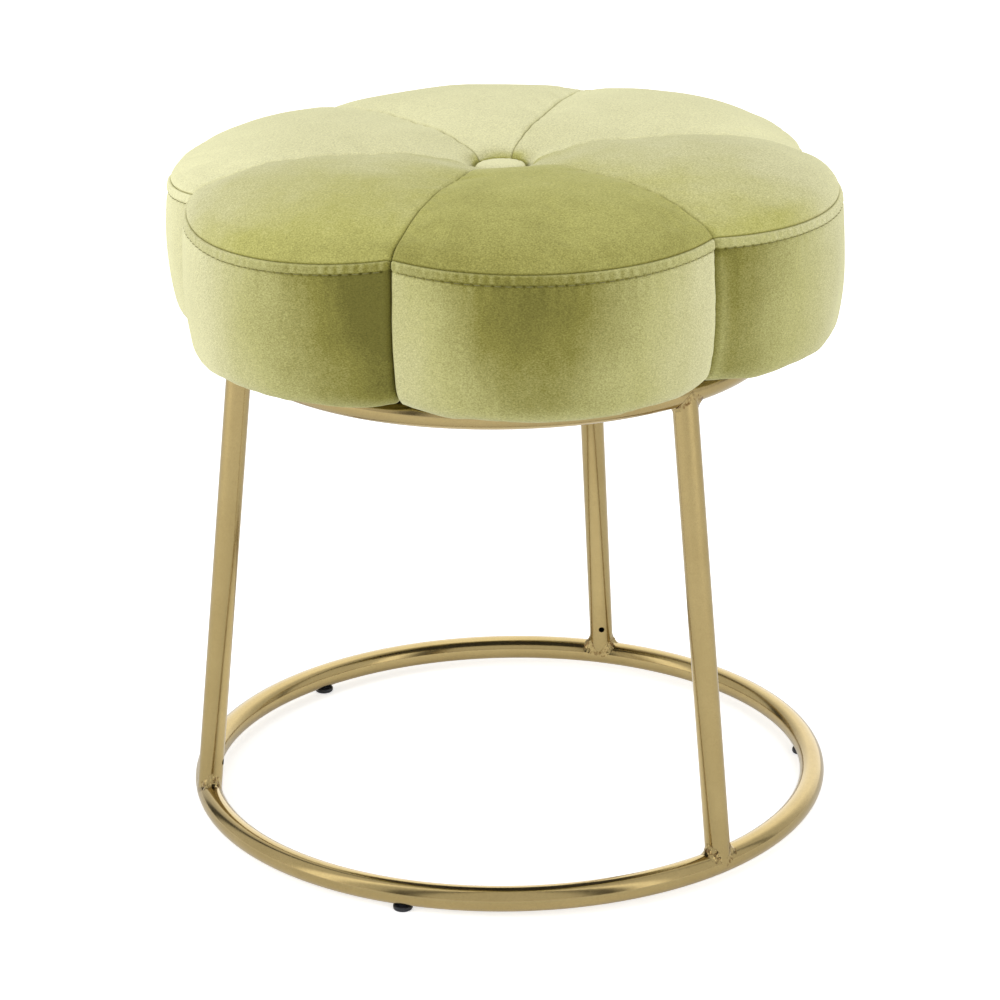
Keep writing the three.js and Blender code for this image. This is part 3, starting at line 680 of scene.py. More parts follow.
# Seams, creases and puckers, as heights above the drawn surface
def puckers(along, pitch, seed):
    """Ridges across a seam at about the given pitch, each a little different."""
    rng = np.random.default_rng(seed)
    total = along.max() + pitch
    marks = np.arange(0, total + pitch, pitch)
    strength = np.interp(along, marks, rng.uniform(0, 1, len(marks)) ** 1.5)
    shift = np.interp(along, marks, rng.uniform(-0.6, 0.6, len(marks)))
    return strength * np.cos(TURN * along / pitch + shift)


def needle_holes(below, along):
    return (0.5 + 0.5 * np.cos(TURN * along / STITCH_PITCH)) ** 4 * bell(TOPSTITCH_DROP, 0.8, below)


def seat_detail(points, below, aside, along, petal):
    """below: distance under the rim seam; aside: distance from the nearer petal seam; along: distance
    along the row. All in millimetres."""
    inward = from_axis(points)
    on_top = 1 - smooth_step(-0.1, 0.1, below)
    side = 1 - on_top
    from_end = below.max() - below
    rim_fade = smooth_step(0, 4, aside)

    # rim seam: a narrow groove, then the raised band down to the topstitching
    height = -1.2 * np.exp(-np.abs(below) / 0.5)
    height += 0.5 * side * smooth_step(0.2, 1.2, below) * (1 - smooth_step(6.0, 7.1, below))
    height -= 0.3 * side * smooth_step(6.4, 7.2, below) * fading(7.2, 7, below)
    height -= 0.85 * needle_holes(below, along)
    band = smooth_step(0.6, 2.0, below) * (1 - smooth_step(5.0, 7.0, below))
    under = smooth_step(7.2, 9.5, below) * fading(9, 6, below)
    above = smooth_step(0.8, 2.5, -below) * fading(2, 6, -below)
    for depth, zone, pitch, seed in ((0.4, band, 1.0, 10), (0.4, under, 1.5, 20), (0.3, above, 1.3, 30)):
        height += depth * zone * puckers(along, STITCH_PITCH * pitch, seed + petal) * rim_fade

    # petal seams: deep on the side and near the rim, fine creases toward the button
    deep = 1.2 + 1.4 * smooth_step(-70, -4, below)
    wide = 0.9 + 0.15 * smooth_step(-60, -4, below)
    deep = deep * (1 + 0.18 * side * waves(points, 22, 40 + petal))
    height -= deep * np.exp(-aside / wide)
    lip = 0.2 + 0.2 * side
    height += lip * bell(2.6, 1.6, aside) * smooth_step(20, 60, inward)
    cross = np.exp(-aside / 6.0) * smooth_step(0.5, 2.5, aside)
    height += (0.06 + 0.2 * side) * cross * puckers(lengths_along(points, 0), 8.5, 50 + petal)

    # soft unevenness of the padding, upright folds on the side, gathers under the roll
    height -= 1.8 * on_top * smooth_step(0, 25, -below) + 1.2 * side * smooth_step(0, 10, below)
    height += (0.6 * waves(points, 80, 61) + 0.15 * waves(points, 30, 62)) * smooth_step(30, 70, inward)
    middle = side * smooth_step(10, 28, below) * smooth_step(8, 30, from_end) * smooth_step(2, 16, aside)
    height += 0.4 * middle * waves(points, 34, 63, (1, 1, 4.5))
    gather = smooth_step(62, 30, from_end) * smooth_step(2, 12, aside) * smooth_step(4, 14, from_end)
    height += 0.35 * gather * side * waves(points, 15, 64, (1, 1, 3))
    flat_flange = smooth_step(FLANGE_WIDTH - 2, FLANGE_WIDTH + 8, from_end)
    height = np.where(below > 20, height * flat_flange, height)

    # pull of the button
    pull = smooth_step(DISH_RADIUS, 24, inward) * fading(22, 16, inward)
    rays = np.arctan2(points[:, :, 1], points[:, :, 0]) * 24 + 2 * waves(points, 30, 65)
    return height + 0.15 * pull * np.cos(rays)


def petal_columns(petal):
    """Angles across a petal, closer together beside its seams."""
    share = np.linspace(-1, 1, PANEL_COLUMNS)
    eased = 0.5 * share + 0.5 * np.sin(share * math.pi / 2)
    return petal * 2 * HALF_PETAL + eased * HALF_PETAL


def pile_leans(form, petal, rim_row, below):
    """The way the pile leans: on the top a little outward from the form and to one side of the petal's
    axis, on the side level round the seat, on the band between the rim seam and its stitches as on top."""
    outward = around(petal * 2 * HALF_PETAL + TOP_PILE_TURN, 1.0)
    upright = unit(form * [TOP_PILE_SPREAD, TOP_PILE_SPREAD, 1])
    leans = unit(upright * math.cos(TOP_PILE_LEAN) + outward * math.sin(TOP_PILE_LEAN))
    level = unit(turned(form[rim_row:] * [1, 1, SIDE_PILE_RISE], SIDE_PILE_TURNS[petal]))
    band = smooth_step(8.5, 5.5, below[rim_row:])[:, :, None]
    leans[rim_row:] = unit(level * (1 - band) + leans[rim_row] * band)
    return leans


def painted_seam_shade(below, aside, along):
    """Painted shade: 1 in the bottom of a seam or a needle hole, 0 on the open cloth."""
    rim = 0.6 * bell(-0.25, 0.36, below)
    petal_seam = bell(0, 0.45, aside) * (0.45 + 0.15 * smooth_step(0, 1, below))
    return np.maximum(np.maximum(rim, petal_seam), needle_holes(below, along))


def petal_surface(petal, places, rim_row, movement):
    """Points, outward directions, pile and painted seam shade of one petal, from the middle to the flange."""
    angles = petal_columns(petal)
    drawn = seat_surface(places, angles)
    normals = surface_normals(drawn)
    down = lengths_along(drawn, 0)
    below = down - down[rim_row]
    pile = pile_leans(normals, petal, rim_row, below)
    along = lengths_along(drawn, 1)
    along = np.where(below > 0, along[rim_row][None, :], along)
    across = lengths_along(drawn, 1)
    aside = np.minimum(across, across[:, -1:] - across)
    sideways = around(angles + TURN / 4, 1.0)
    for column in (0, -1):
        seam = sideways[column]
        flat = normals[:, column] - (normals[:, column] @ seam)[:, None] * seam
        share = np.exp(-np.abs(across - across[:, column, None]) / 1.5)[:, :, None]
        normals = unit(normals * (1 - share) + unit(flat)[:, None, :] * share)
    moved = drawn + movement_at(movement, places, angles)
    height = seat_detail(drawn, below, aside, along, petal)
    points = moved + normals * height[:, :, None]
    trim = SEAM_GAP * np.exp(-aside / 0.6)
    points -= sideways * (trim * np.sign(angles - petal * 2 * HALF_PETAL))[:, :, None]
    return points, normals, below, along, pile, painted_seam_shade(below, aside, along)


def velvet_attributes(obj, pile, brushed_and_painted_light, seam):
    """What the velvet's material reads at each point of the mesh."""
    count = len(obj.data.vertices)
    for name, value, kind, key, size in (
        ("pile", pile, "FLOAT_VECTOR", "vector", 3 * count),
        ("brushed_and_painted_light", brushed_and_painted_light, "FLOAT", "value", count),
        ("seam", seam, "FLOAT", "value", count),
    ):
        made = obj.data.attributes.new(name, kind, "POINT")
        made.data.foreach_set(key, np.broadcast_to(np.ravel(value), size).astype(np.float32))


def velvet_panel(name, outer, normals, velvet):
    return shell(name, outer, outer - normals * CLOTH, grid_faces(*outer.shape[:2]), velvet)


def stitch_row(name, line, outward, travelled):
    """Thread stitches along a line on the velvet, each dipping into its needle holes."""

    def places_at(marks, way):
        return np.stack([np.interp(marks, travelled, way[:, i]) for i in range(3)], axis=-1)

    share = np.linspace(-1, 1, 7)
    rise = 0.22 - 0.9 * np.abs(share) ** 3
    radii = THREAD_RADIUS * np.sqrt(np.clip(1.02 - share**4, 0.05, 1))[:, None]
    stitches = []
    for stitch in range(1, int((travelled[-1] - 4) / STITCH_PITCH)):
        marks = (stitch + 0.5) * STITCH_PITCH + share * (STITCH_PITCH / 2 - 0.45)
        centres = places_at(marks, line)
        up = unit(places_at(marks, outward))
        aside = unit(np.cross(unit(np.gradient(centres, axis=0)), up))
        stitches.append(ring_around(centres + up * rise[:, None], aside, up, radii, 8))
    return rods(name, stitches, THREAD)


TOP_PILE_SPREAD = 0.5
TOP_PILE_LEAN = math.radians(18)
TOP_PILE_TURN = math.radians(-5)
SIDE_PILE_RISE = 0.35
SIDE_PILE_TURNS = np.radians([-8, 0, 0, 0, -5, -2])
# Per petal, how far the side's pile is brushed over, set together with painted light and shade of that side
SIDE_BRUSHED_AND_PAINTED_LIGHT = (-0.04, 0.03, -0.05, 0.0, -0.1, 0.077)
# The painted highlight on the fold beside a petal's first valley on the side, and the top's pile toward the
# rim, set per petal together with painted light and shade
FOLD_PAINTED_HIGHLIGHT = (0.13, 0.0, 0.0, 0.0, 0.0, 0.0)
RIM_BRUSHED_AND_PAINTED_LIGHT = (0.13, 0.17, 0.2, 0.12, 0.09, 0.045)
BUTTON_BRUSHED = 0.28


def brushed_and_painted_light_at_rim(petal, below, along):
    """The pile under the rim seam: a painted highlight on its lip, and unsettled by the pull of each stitch,
    paler on each pucker's ridge and darker between them, partly painted light and shade. Also a painted
    highlight on the fold beside a petal's first valley.
    """
    # painted highlight on the lip just under the rim seam
    lip = bell(1.0, 0.8, below)
    band = smooth_step(0.3, 1.5, below) * smooth_step(6.8, 5.6, below)
    under = smooth_step(7.2, 9.0, below) * fading(9, 7, below)
    # paler on the puckers' ridges, darker between: partly the pile's turn, partly painted light and shade
    pulled = 0.08 * band * puckers(along, STITCH_PITCH, 10 + petal)
    pulled += 0.05 * under * puckers(along, STITCH_PITCH * 1.5, 20 + petal)
    # painted highlight along the fold beside the petal's first valley
    fold = FOLD_PAINTED_HIGHLIGHT[petal] * smooth_step(7, 14, below) * bell(2.5, 5.5, along)
    return 0.09 * lip + pulled + fold


def build_velvet():
    movement = simulated_movement()
    places, rim_row = rows_spaced(ROW_FINE, ROW_COARSE, FINE_REACH)
    for petal in range(PETALS):
        points, normals, below, along, pile, seam = petal_surface(petal, places, rim_row, movement)
        top_brushed_and_painted_light = RIM_BRUSHED_AND_PAINTED_LIGHT[petal] * smooth_step(-90, -10, below) - 0.04
        side_brushed_and_painted_light = SIDE_BRUSHED_AND_PAINTED_LIGHT[petal] + brushed_and_painted_light_at_rim(petal, below, along)
        for kind, velvet, brushed_and_painted_light, rows, edge, inward in (
            ("top", TOP_VELVET, top_brushed_and_painted_light, slice(0, rim_row + 1), -1, -2),
            ("side", SIDE_VELVET, side_brushed_and_painted_light, slice(rim_row, None), 0, 1),
        ):
            outer = points[rows].copy()
            outer[edge] += (outer[inward] - outer[edge]) * SEAM_GAP
            panel = velvet_panel(f"velvet_{kind}_{petal + 1}", outer, normals[rows], velvet)
            both_layers = (np.concatenate([value[rows], value[rows]]) for value in (pile, brushed_and_painted_light, seam))
            velvet_attributes(panel, *both_layers)
            fixed(panel, "velvet", f"petal_{kind}_{petal + 1}")
        row = int(np.argmin(np.abs(below[:, PANEL_COLUMNS // 2] - TOPSTITCH_DROP)))
        fixed(stitch_row(f"topstitch_{petal + 1}", points[row], normals[row], along[rim_row]), "velvet")


def build_foam():
    """The foam block under the velvet, wrapped round the edge of the board."""
    rim_row = 49
    places = np.concatenate([np.linspace(0.02, 1, rim_row + 1), np.linspace(1, 1.9, 30)[1:]])
    angles = even_turns(FOAM_COLUMNS)
    surface = seat_surface(places, angles)
    across = (HALF_PETAL - np.abs(petal_local(angles))) * from_axis(surface)
    below = lengths_along(surface, 0)
    below = np.abs(below - below[rim_row])
    depth = CLOTH + 2.0 + 6.0 * np.exp(-across / 6.0) + 3.0 * np.exp(-below / 4.0)
    outer = surface - surface_normals(surface) * depth[:, :, None]
    edge = rim_radius(angles) - BOARD_INSET + FIT
    top = BOARD_TOP + FIT

    def over_nuts(radius):
        flat = around(angles, radius)
        height = np.full(len(angles), top)
        for nut in bolt_places():
            distance = np.linalg.norm(flat - nut, axis=1)
            height += (NUT_HEIGHT + FIT) * (1 - smooth_step(NUT_RADIUS + 1, NUT_RADIUS + 6, distance))
        return around(angles, radius, height)

    edge_heights = (BOARD_BOTTOM + FIT, (BOARD_BOTTOM + BOARD_TOP) / 2, top)
    inner = [around(angles, edge, height) for height in edge_heights]
    inner += [over_nuts(np.minimum(BOLT_RADIUS + reach, edge - 1)) for reach in np.linspace(18, -18, 15)]
    inner += [around(angles, radius, top) for radius in (100, 50, 20, CORD_RADIUS)]
    inner.append(around(angles, CORD_RADIUS, BUTTON_BOTTOM - 4))
    rows = np.concatenate([outer, np.array(inner)])
    faces = grid_faces(*rows.shape[:2], close_rows=True, close_columns=True)
    fixed(mesh_object("foam_block", rows, faces, FOAM), "foam", "foam_core")


def build_button():
    """The velvet-covered button: a soft dome with its edge turned under."""
    turn = even_turns(BUTTON_SIDES)
    quarter = np.linspace(0.03, 1, 26) * math.pi / 2
    under = np.linspace(0.96, 0.1, 10)
    edge_height = (BUTTON_BOTTOM + BUTTON_TOP) / 2 - 0.4
    upper = edge_height + (BUTTON_TOP - edge_height) * np.cos(quarter) ** 0.85
    lower = edge_height - (edge_height - BUTTON_BOTTOM) * np.sqrt(1 - under**2) ** 0.8
    share = np.concatenate([np.sin(quarter) ** 0.9, under])[:, None]
    points = around(turn, BUTTON_RADIUS * share, np.concatenate([upper, lower])[:, None])
    normals = surface_normals(points)
    gathers = 0.14 * np.cos(turn * 22 + 1.5 * np.sin(turn * 3)) + 0.25 * waves(points, 14, 71)
    points += normals * (smooth_step(0.55, 1.0, share) * gathers)[:, :, None]
    faces = grid_faces(len(points), BUTTON_SIDES, close_columns=True)
    for pole, row in enumerate((0, len(points) - 1)):
        ring = range(row * BUTTON_SIDES, (row + 1) * BUTTON_SIDES)
        faces += [(len(points) * BUTTON_SIDES + pole, ring[i - 1], ring[i]) for i in range(BUTTON_SIDES)]
    vertices = np.concatenate([points.reshape(-1, 3), [UP * BUTTON_TOP, UP * BUTTON_BOTTOM]])
    button = mesh_object("velvet_button", vertices, faces, TOP_VELVET)
    # painted shade where the velvet of the button turns under its edge
    seam = np.repeat(0.6 * smooth_step(0.93, 1.0, share), BUTTON_SIDES)
    pile = np.concatenate([normals.reshape(-1, 3), [UP, -UP]])
    velvet_attributes(button, pile, BUTTON_BRUSHED, np.append(seam, [0, 0]))
    fixed(button, "velvet", "button_cap")


def build_cord():
    """The twisted tufting cord, from its knot in the button to the anchor under the board."""
    sides = 16
    knot = BUTTON_BOTTOM + 2.4
    height = np.linspace(BOARD_BOTTOM - 2, BUTTON_BOTTOM + 4, 120)[:, None]
    strands = np.cos(height * TURN / CORD_PITCH + even_turns(sides) * CORD_STRANDS)
    radii = CORD_THICKNESS + 0.12 * strands + 0.9 * bell(knot, 1, height)
    cord = ring_around(height * UP, (1, 0, 0), (0, 1, 0), radii, sides)
    fixed(rods("tufting_cord", [cord], TWINE), "twine", "tuft_cord")


def bolt_places():
    return around(np.array(list(FOOT_ANGLES.values())), BOLT_RADIUS)


def build_dust_cover():
    """Black non-woven cloth stretched under the board, a little slack between the plates."""
    angles = even_turns(32 * PETALS)
    reach = rim_radius(angles) - DUST_COVER_INSET
    points = [Vector(place[:2]) for place in around(angles, reach)]
    loops = [list(range(len(points)))]
    holes = [Vector(place[:2]) for place in bolt_places()]
    hole_sides = 20
    for centre in holes:
        loops.append(list(range(len(points), len(points) + hole_sides))[::-1])
        points += [centre + Vector(place[:2]) for place in around(even_turns(hole_sides), SCREW_HOLE)]

    def clear_of_holes(place, gap):
        return all((centre - place).length > gap for centre in holes)

    span = np.arange(-200, 201, DUST_COVER_CELL)
    for x, y in ((x, y) for x in span for y in span):
        inside = math.hypot(x, y) < rim_radius(math.atan2(y, x)) - DUST_COVER_INSET - 3
        if inside and clear_of_holes(Vector((x, y)), 6):
            points.append(Vector((x, y)))
    flat, _, faces, *_ = delaunay_2d_cdt(points, [], loops, 1, 0.001)
    middles = [sum((flat[i] for i in face), Vector((0, 0))) / len(face) for face in faces]
    cloth = [face for face, middle in zip(faces, middles) if clear_of_holes(middle, SCREW_HOLE - 0.2)]
    place = np.array([(*point, 0) for point in flat])
    slack = 1 - smooth_step(60, 118, from_axis(place))
    sag = slack * (0.9 + 0.5 * waves(place, 55, 81) + 0.25 * waves(place, 18, 82, (1, 3, 1)))
    low = place + UP * (DUST_COVER_LOW - sag)[:, None]
    cover = shell("dust_cover_cloth", low, low + UP * DUST_COVER_THICKNESS, cloth, CAMBRIC)
    fixed(cover, "black_cloth", "dust_cover")


def build_staples():
    """The rest of the row of staples, between those of the CAD part."""
    across, rise = STAPLE_PATH.T
    for petal in range(PETALS):
        wires = []
        for share in (-0.84, -0.68, -0.34, -0.16, 0.0, 0.16, 0.34, 0.68, 0.84):
            angle = (2 * petal + share) * HALF_PETAL
            radius = rim_radius(angle) - STAPLE_INSET
            lean = math.sin(share * 47 + petal) * 0.12
            outward = around(-lean, 1.0)
            ends = (radius + across * math.sin(lean), across * math.cos(lean), STAPLE_LOW + rise)
            centres = np.stack(ends, axis=-1)
            upward = unit(np.cross(unit(np.gradient(centres, axis=0)), outward))
            wires.append(turned(ring_around(centres, outward, upward, STAPLE_WIRE, 8), angle))
        fixed(rods(f"staple_row_{petal + 1}", wires, ZINC), "zinc_steel")


# Metal frame
def ring_tube(name, radius, height):
    turn = even_turns(RING_STEPS)
    tube = ring_around(around(turn, radius, height), around(turn, 1.0), UP, TUBE_RADIUS, TUBE_SIDES // 2)
    faces = grid_faces(*tube.shape[:2], close_rows=True, close_columns=True)
    return mesh_object(name, tube, faces, GOLD)


def leg_axis():
    """The foot, direction and length of a leg standing at angle 0."""
    foot = np.array([BASE_RING_RADIUS, 0, BASE_RING_HEIGHT])
    reach = np.array([TOP_RING_RADIUS, 0, TOP_RING_HEIGHT]) - foot
    length = float(np.linalg.norm(reach))
    return foot, reach / length, length


def out_of_leg(turns):
    """Directions out of that leg's wall, at given turns round it."""
    sideways = np.array([0.0, 1.0, 0.0])
    outward = np.cross(sideways, leg_axis()[1])
    return np.cos(turns)[..., None] * outward + np.sin(turns)[..., None] * sideways


def coped_ends(leg_radius, turns, clearance):
    """Where each line along a leg's wall meets the base ring and the top ring."""
    foot, along, length = leg_axis()
    wall = foot + leg_radius * out_of_leg(turns)
    ends = []
    for (ring_radius, height), start in ((BASE_RING, 0.0), (TOP_RING, length)):
        inside, outside = np.full(len(turns), start), np.full(len(turns), length / 2)
        for _ in range(40):
            middle = (inside + outside) / 2
            point = wall + middle[:, None] * along
            near = np.hypot(from_axis(point) - ring_radius, point[:, 2] - height) < TUBE_RADIUS + clearance
            inside, outside = np.where(near, middle, inside), np.where(near, outside, middle)
        ends.append(outside)
    return ends


def leg_tube(name, angle, drain_turn):
    """A leg with its real bore and a round drain hole that faces the middle of the stool, or nearly so."""
    foot, along, length = leg_axis()
    cope = 14  # the length of each end that the rings cut
    cell = TURN * TUBE_RADIUS / TUBE_SIDES
    drain = math.pi + drain_turn
    turns = drain + (np.arange(TUBE_SIDES) - DRAIN_CELLS / 2) * TURN / TUBE_SIDES
    hole_rows = DRAIN_RISE + (np.arange(DRAIN_CELLS + 1) - DRAIN_CELLS / 2) * cell
    lower_rows = np.linspace(cope, hole_rows[0], 8)[:-1]
    upper_rows = np.linspace(hole_rows[-1], length - cope, 40)[1:]
    rows = np.concatenate([lower_rows, hole_rows, upper_rows])
    first = len(lower_rows) + 1
    edge = (0, DRAIN_CELLS)
    grid = [(row, column) for row in range(DRAIN_CELLS + 1) for column in range(DRAIN_CELLS + 1)]
    layers = []
    for radius in (TUBE_RADIUS, TUBE_RADIUS - TUBE_WALL):
        low, high = coped_ends(radius, turns, 0.02)
        heights = np.concatenate([low[None], np.repeat(rows[:, None], TUBE_SIDES, 1), high[None]])
        angles = np.repeat(turns[None], len(heights), 0)
        for row, column in grid:
            if row in edge or column in edge:
                lift, across = (row - DRAIN_CELLS / 2) * cell, (column - DRAIN_CELLS / 2) * cell
                stretch = DRAIN_RADIUS / math.hypot(lift, across)
                heights[first + row, column] = DRAIN_RISE + lift * stretch
                angles[first + row, column] = drain + math.asin(across * stretch / radius)
        layers.append(turned(foot + radius * out_of_leg(angles) + heights[..., None] * along, angle))
    hole = {(first + row) * TUBE_SIDES + column for row, column in grid if DRAIN_CELLS not in (row, column)}
    quads = grid_faces(len(heights), TUBE_SIDES, close_columns=True)
    leg = shell(name, *layers, [quad for i, quad in enumerate(quads) if i not in hole], GOLD)
    leg.data.materials.append(BORE)
    for face in leg.data.polygons:
        face.material_index = int(min(face.vertices) >= heights.size)
    return leg


def weld_bead(name, angle, at_base, seed):
    """A hand-laid fillet round the end of a leg: rippled, thicker in the corners and in places lumpy."""
    foot, along, _ = leg_axis()
    turns = even_turns(WELD_STEPS)
    low, high = coped_ends(TUBE_RADIUS, turns, 0.0)
    reach, away, (radius, height) = (low, along, BASE_RING) if at_base else (high, -along, TOP_RING)
    least, most, fullness = (0.75, 1.4, 0.19) if at_base else (0.7, 1.0, 0.3)
    from_leg = out_of_leg(turns)
    corner = foot + TUBE_RADIUS * from_leg + reach[:, None] * along

    def ring_core(points):
        return unit(points * [1, 1, 0]) * radius + [0, 0, height]

    from_ring = unit(corner - ring_core(corner))
    outward = unit(from_leg + from_ring)
    in_corner = smooth_step(0, 1, 1 - np.sum(from_leg * from_ring, axis=1))
    travelled = np.cumsum(np.linalg.norm(np.roll(corner, -1, 0) - corner, axis=1))
    ripple = travelled[-1] / round(travelled[-1] / WELD_RIPPLE)
    scale = np.abs(((travelled / ripple) % 1) - 0.35)
    uneven = 1 + in_corner * (0.32 * waves(corner, 9, seed) - 0.3 * scale)
    size = WELD_SIZE * (least + (most - least) * in_corner) * uneven
    on_leg = corner + away * size[:, None] + from_leg * 0.05
    outer = corner + unit(from_leg - away) * (size * 0.9)[:, None]
    on_ring = ring_core(outer) + unit(outer - ring_core(outer)) * (TUBE_RADIUS + 0.05)
    bulge = size * (0.03 + fullness * in_corner) * (1 + 0.3 * waves(corner, 4, seed + 1))
    middle = corner + outward * bulge[:, None]
    share = np.linspace(0, 1, 9)[None, :, None]
    skin = (1 - share) ** 2 * on_leg[:, None] + 2 * share * (1 - share) * middle[:, None]
    skin += share**2 * on_ring[:, None]
    rough = 0.4 * waves(skin, 2.6, seed + 2) * np.sin(share[..., 0] * math.pi)
    rough *= 0.15 + 0.85 * in_corner[:, None]
    skin += rough[..., None] * outward[:, None]
    root = corner - outward * WELD_SUNK
    points = np.concatenate([skin, root[:, None]], axis=1)
    faces = grid_faces(*points.shape[:2], close_rows=True, close_columns=True)
    return mesh_object(name, turned(points, angle), faces, WELD_GOLD)


def plate_bead(name, angle, seed):
    """The bead in the corner between a mounting plate and the inside of the top ring."""
    spread = PLATE_BEAD_LENGTH / 2 / (TOP_RING_RADIUS - 6.5)
    turn = np.linspace(-spread, spread, 90)
    outward = around(turn, 1.0)
    taper = np.sqrt(np.clip(1 - (turn / spread) ** 8, 0.02, 1))
    size = taper * (PLATE_BEAD_SIZE + 0.22 * np.cos(turn * TOP_RING_RADIUS * TURN / WELD_RIPPLE))
    size += 0.2 * waves(outward * 160, 8, seed)
    centres = around(turn, TOP_RING_RADIUS - 6.2, TOP_RING_HEIGHT + TUBE_RADIUS - 1.7)
    bead = ring_around(centres, outward, UP, np.maximum(size, 0.3)[:, None], 16)
    return rods(name, [turned(bead, angle)], WELD_GOLD)


def build_frame():
    fixed(ring_tube("base_ring_tube", *BASE_RING), "gold_metal", "base_ring")
    fixed(ring_tube("top_ring_tube", *TOP_RING), "gold_metal", "top_ring")
    for i, (place, angle) in enumerate(LEG_ANGLES.items()):
        fixed(leg_tube(f"leg_tube_{place}", angle, DRAIN_TURNS[place]), "gold_metal", f"leg_{place}")
        fixed(weld_bead(f"base_bead_{place}", angle, True, 100 + 10 * i), "gold_metal", f"base_weld_{place}")
        fixed(weld_bead(f"top_bead_{place}", angle, False, 200 + 10 * i), "gold_metal", f"top_weld_{place}")
    for i, (place, angle) in enumerate(FOOT_ANGLES.items()):
        fixed(plate_bead(f"plate_bead_{place}", angle, 300 + i), "gold_metal", f"plate_weld_{place}")
        fixed(foot_pad(f"foot_pad_{place}", angle), "black_plastic", f"foot_{place}")


def foot_pad(name, angle):
    """A small moulded foot: rounded pad, short neck and the barbed stem inside the ring."""
    pad, edge, shoulder, top = 6.2, 1.3, 0.9, FOOT_DROP - FIT
    quarter = np.linspace(0, math.pi / 2, 8)
    profile = [(pad - edge + edge * math.sin(t), edge - edge * math.cos(t)) for t in quarter]
    for t in np.linspace(0, math.pi / 2, 6):
        profile.append((pad - shoulder + shoulder * math.cos(t), top - shoulder + shoulder * math.sin(t)))
    profile += [(3.0, top), (3.0, 6.2), (3.8, 7.4), (2.2, 8.6)]
    rings = np.array([around(even_turns(FOOT_SIDES), radius, height) for radius, height in profile])
    return rods(name, [rings + around(angle, BASE_RING_RADIUS)], PLASTIC)


def finish_cad_nodes():
    """Materials and softened edges for the pieces that are shown as the CAD part has them."""
    looks = {
        "mount_plate": (GOLD, 0.35),
        "seat_bolt": (ZINC, 0.25),
        "seat_washer": (ZINC, 0.2),
        "t_nut": (ZINC, 0.2),
        "staple_": (ZINC, 0.12),
        "seat_board": (PLYWOOD, 0.4),
        "button_back": (ZINC, 0.2),
        "tuft_anchor": (PLASTIC, 0.25),
    }
    for name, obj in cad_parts.items():
        for stem, (look, width) in looks.items():
            if name.startswith(stem):
                obj.data.materials.clear()
                obj.data.materials.append(look)
                bevel = obj.modifiers.new("soft_edges", "BEVEL")
                bevel.width = width * MM
                bevel.segments = 2
                bevel.limit_method = "ANGLE"


# Stage, light and camera
FLOOR_SIZE = 12000.0
# Added where the floor is seen, so that it is white with a soft shadow: near the stool and far off
FLOOR_LIFT = (0.54, 0.75)
LIFT_REACH = (1.0, 5.0)
# Glow added to the floor only where the metal mirrors it: a painted brightening of the floor's shadow under
# the seat, fading out past the base ring
MIRRORED_FLOOR_GLOW = (0.4, 0.0)
MIRRORED_REACH = (0.1, 0.26)
WORLD_STRENGTH = 0.76
# The studio tent as the metal mirrors it: its strength, and at an azimuth and half width in degrees
# the gaps between its panels and the brighter panels
TENT_STRENGTH = 0.8
TENT_PANELS = (
    (-38, 9, 0.12),
    (-108, 8, 0.12),
    (98, 48, 2.1),
    (160, 9, 0.1),
    (-140, 12, 2.2),
    (-22, 8, 2.2),
    (30, 5, 0.35),
)


def build_stage():
    made = Surface("studio_floor")
    distance = made.add("VectorMath", {0: made.place}, operation="LENGTH").outputs["Value"]
    straight, mirrored = made.seen()
    # painted light: the floor's glow in the metal's reflection, strongest in the shadow under the seat
    near = made.scaled(distance, *MIRRORED_FLOOR_GLOW, *MIRRORED_REACH)
    strength = made.math("MULTIPLY", made.scaled(distance, *FLOOR_LIFT, *LIFT_REACH), straight)
    strength = made.math("MULTIPLY_ADD", mirrored, near, strength)
    looks = {"Base Color": (0.9, 0.9, 0.9), "Roughness": 1.0, "Specular IOR Level": 0.0}
    made.shaded({**looks, "Emission Color": WHITE, "Emission Strength": strength})
    corners = [(x * FLOOR_SIZE, y * FLOOR_SIZE, 0) for x, y in ((-1, -1), (1, -1), (1, 1), (-1, 1))]
    mesh_object("floor", corners, [(0, 1, 2, 3)], made.material, closed=False)


def tent_light(sky):
    """The strength of the tent round the object, in the direction that the metal mirrors."""
    ahead = sky.add("SeparateXYZ", {0: sky.add("TexCoord").outputs["Generated"]}).outputs
    azimuth = sky.math("ARCTAN2", ahead["Y"], ahead["X"])
    strength = TENT_STRENGTH
    for centre, width, share in TENT_PANELS:
        offset = sky.math("WRAP", sky.math("SUBTRACT", azimuth, math.radians(centre)), math.pi, -math.pi)
        edge = math.radians(width)
        panel = sky.scaled(sky.math("ABSOLUTE", offset), share, 1.0, edge * 0.4, edge)
        strength = sky.math("MULTIPLY", panel, strength)
    return strength


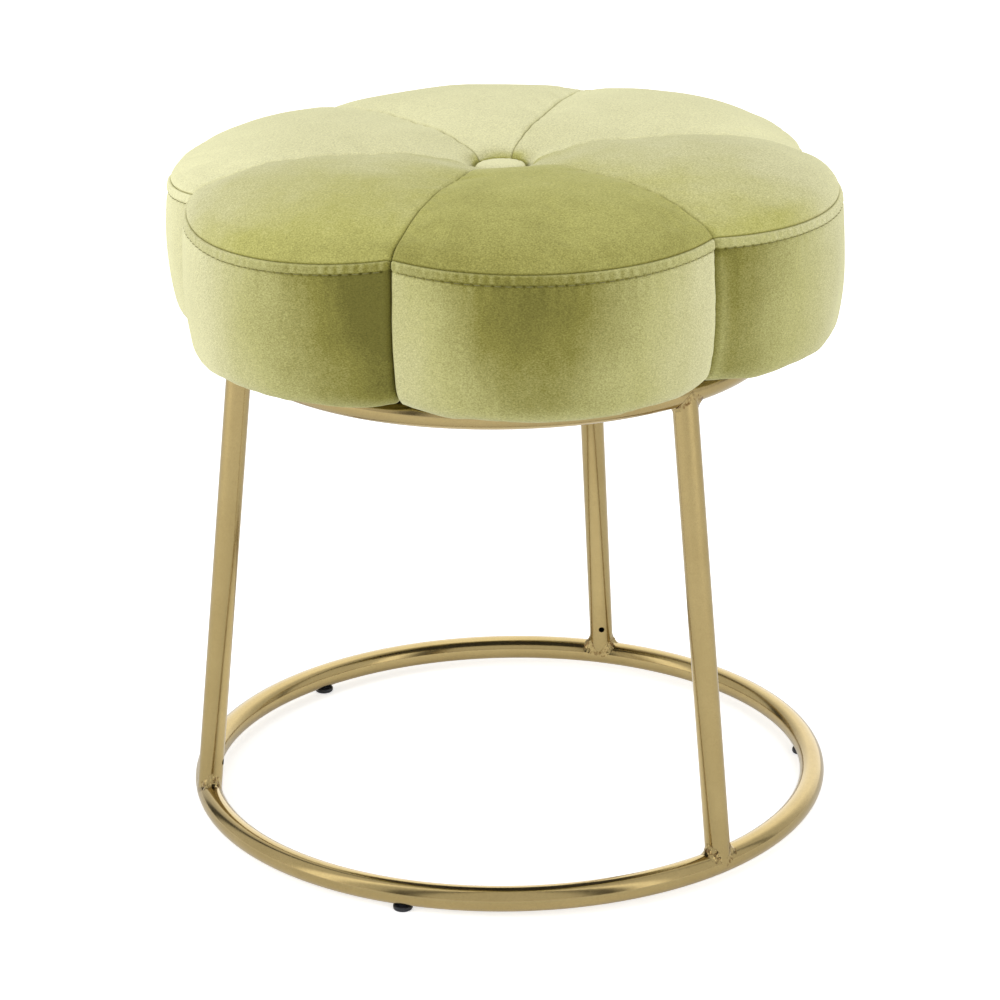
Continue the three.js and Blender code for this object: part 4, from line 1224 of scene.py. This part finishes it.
def build_world():
    world = bpy.data.worlds.new("studio")
    bpy.context.scene.world = world
    world.use_nodes = True
    world.node_tree.nodes.clear()
    sky = Nodes(world.node_tree)
    straight, mirrored = sky.seen()
    strength = sky.mixed(mirrored, (WORLD_STRENGTH,) * 3, tent_light(sky))
    background = sky.add("Background", {"Color": sky.mixed(straight, strength, WHITE)})
    sky.add("OutputWorld", {"Surface": background.outputs[0]})


def area_lamp(name, place, size, power, target=(0, 0, 0.3)):
    light = bpy.data.lights.new(name, "AREA")
    light.shape = "RECTANGLE"
    light.size, light.size_y = size
    light.energy = power
    lamp = bpy.data.objects.new(name, light)
    lamp.location = place
    lamp.rotation_euler = (Vector(target) - Vector(place)).to_track_quat("-Z", "Y").to_euler()
    lamp.visible_glossy = False  # the metal mirrors the tent's bright panels instead
    bpy.context.scene.collection.objects.link(lamp)
    return lamp


CAMERA_PLACE = Vector((0.7486, -2.1024, 1.0280))
CAMERA_AZIMUTH = math.radians(19.692)
CAMERA_PITCH = math.radians(20.375)
CAMERA_ROLL = math.radians(-0.907)
CAMERA_LENS = 131.7


def build_camera():
    """The photograph's view: the direction of sight, then the slight roll about it."""
    data = bpy.data.cameras.new("photo_view")
    data.sensor_width = 36
    data.lens = CAMERA_LENS
    camera = bpy.data.objects.new("photo_view", data)
    view = Matrix.Translation(CAMERA_PLACE)
    for angle, axis in ((CAMERA_AZIMUTH, "Z"), (math.pi / 2 - CAMERA_PITCH, "X"), (CAMERA_ROLL, "Z")):
        view @= Matrix.Rotation(angle, 4, axis)
    camera.matrix_world = view
    bpy.context.scene.collection.objects.link(camera)
    bpy.context.scene.camera = camera


build_velvet()
build_foam()
build_button()
build_cord()
build_dust_cover()
build_staples()
build_frame()
finish_cad_nodes()
build_stage()
build_world()
area_lamp("key", (-1.9, -1.7, 1.3), (1.4, 1.6), 30)
area_lamp("fill", (2.3, -1.3, 1.1), (1.4, 1.8), 22)
area_lamp("top", (0.2, 0.6, 2.6), (2.0, 2.0), 8)
build_camera()
bpy.context.scene.view_settings.view_transform = "Standard"
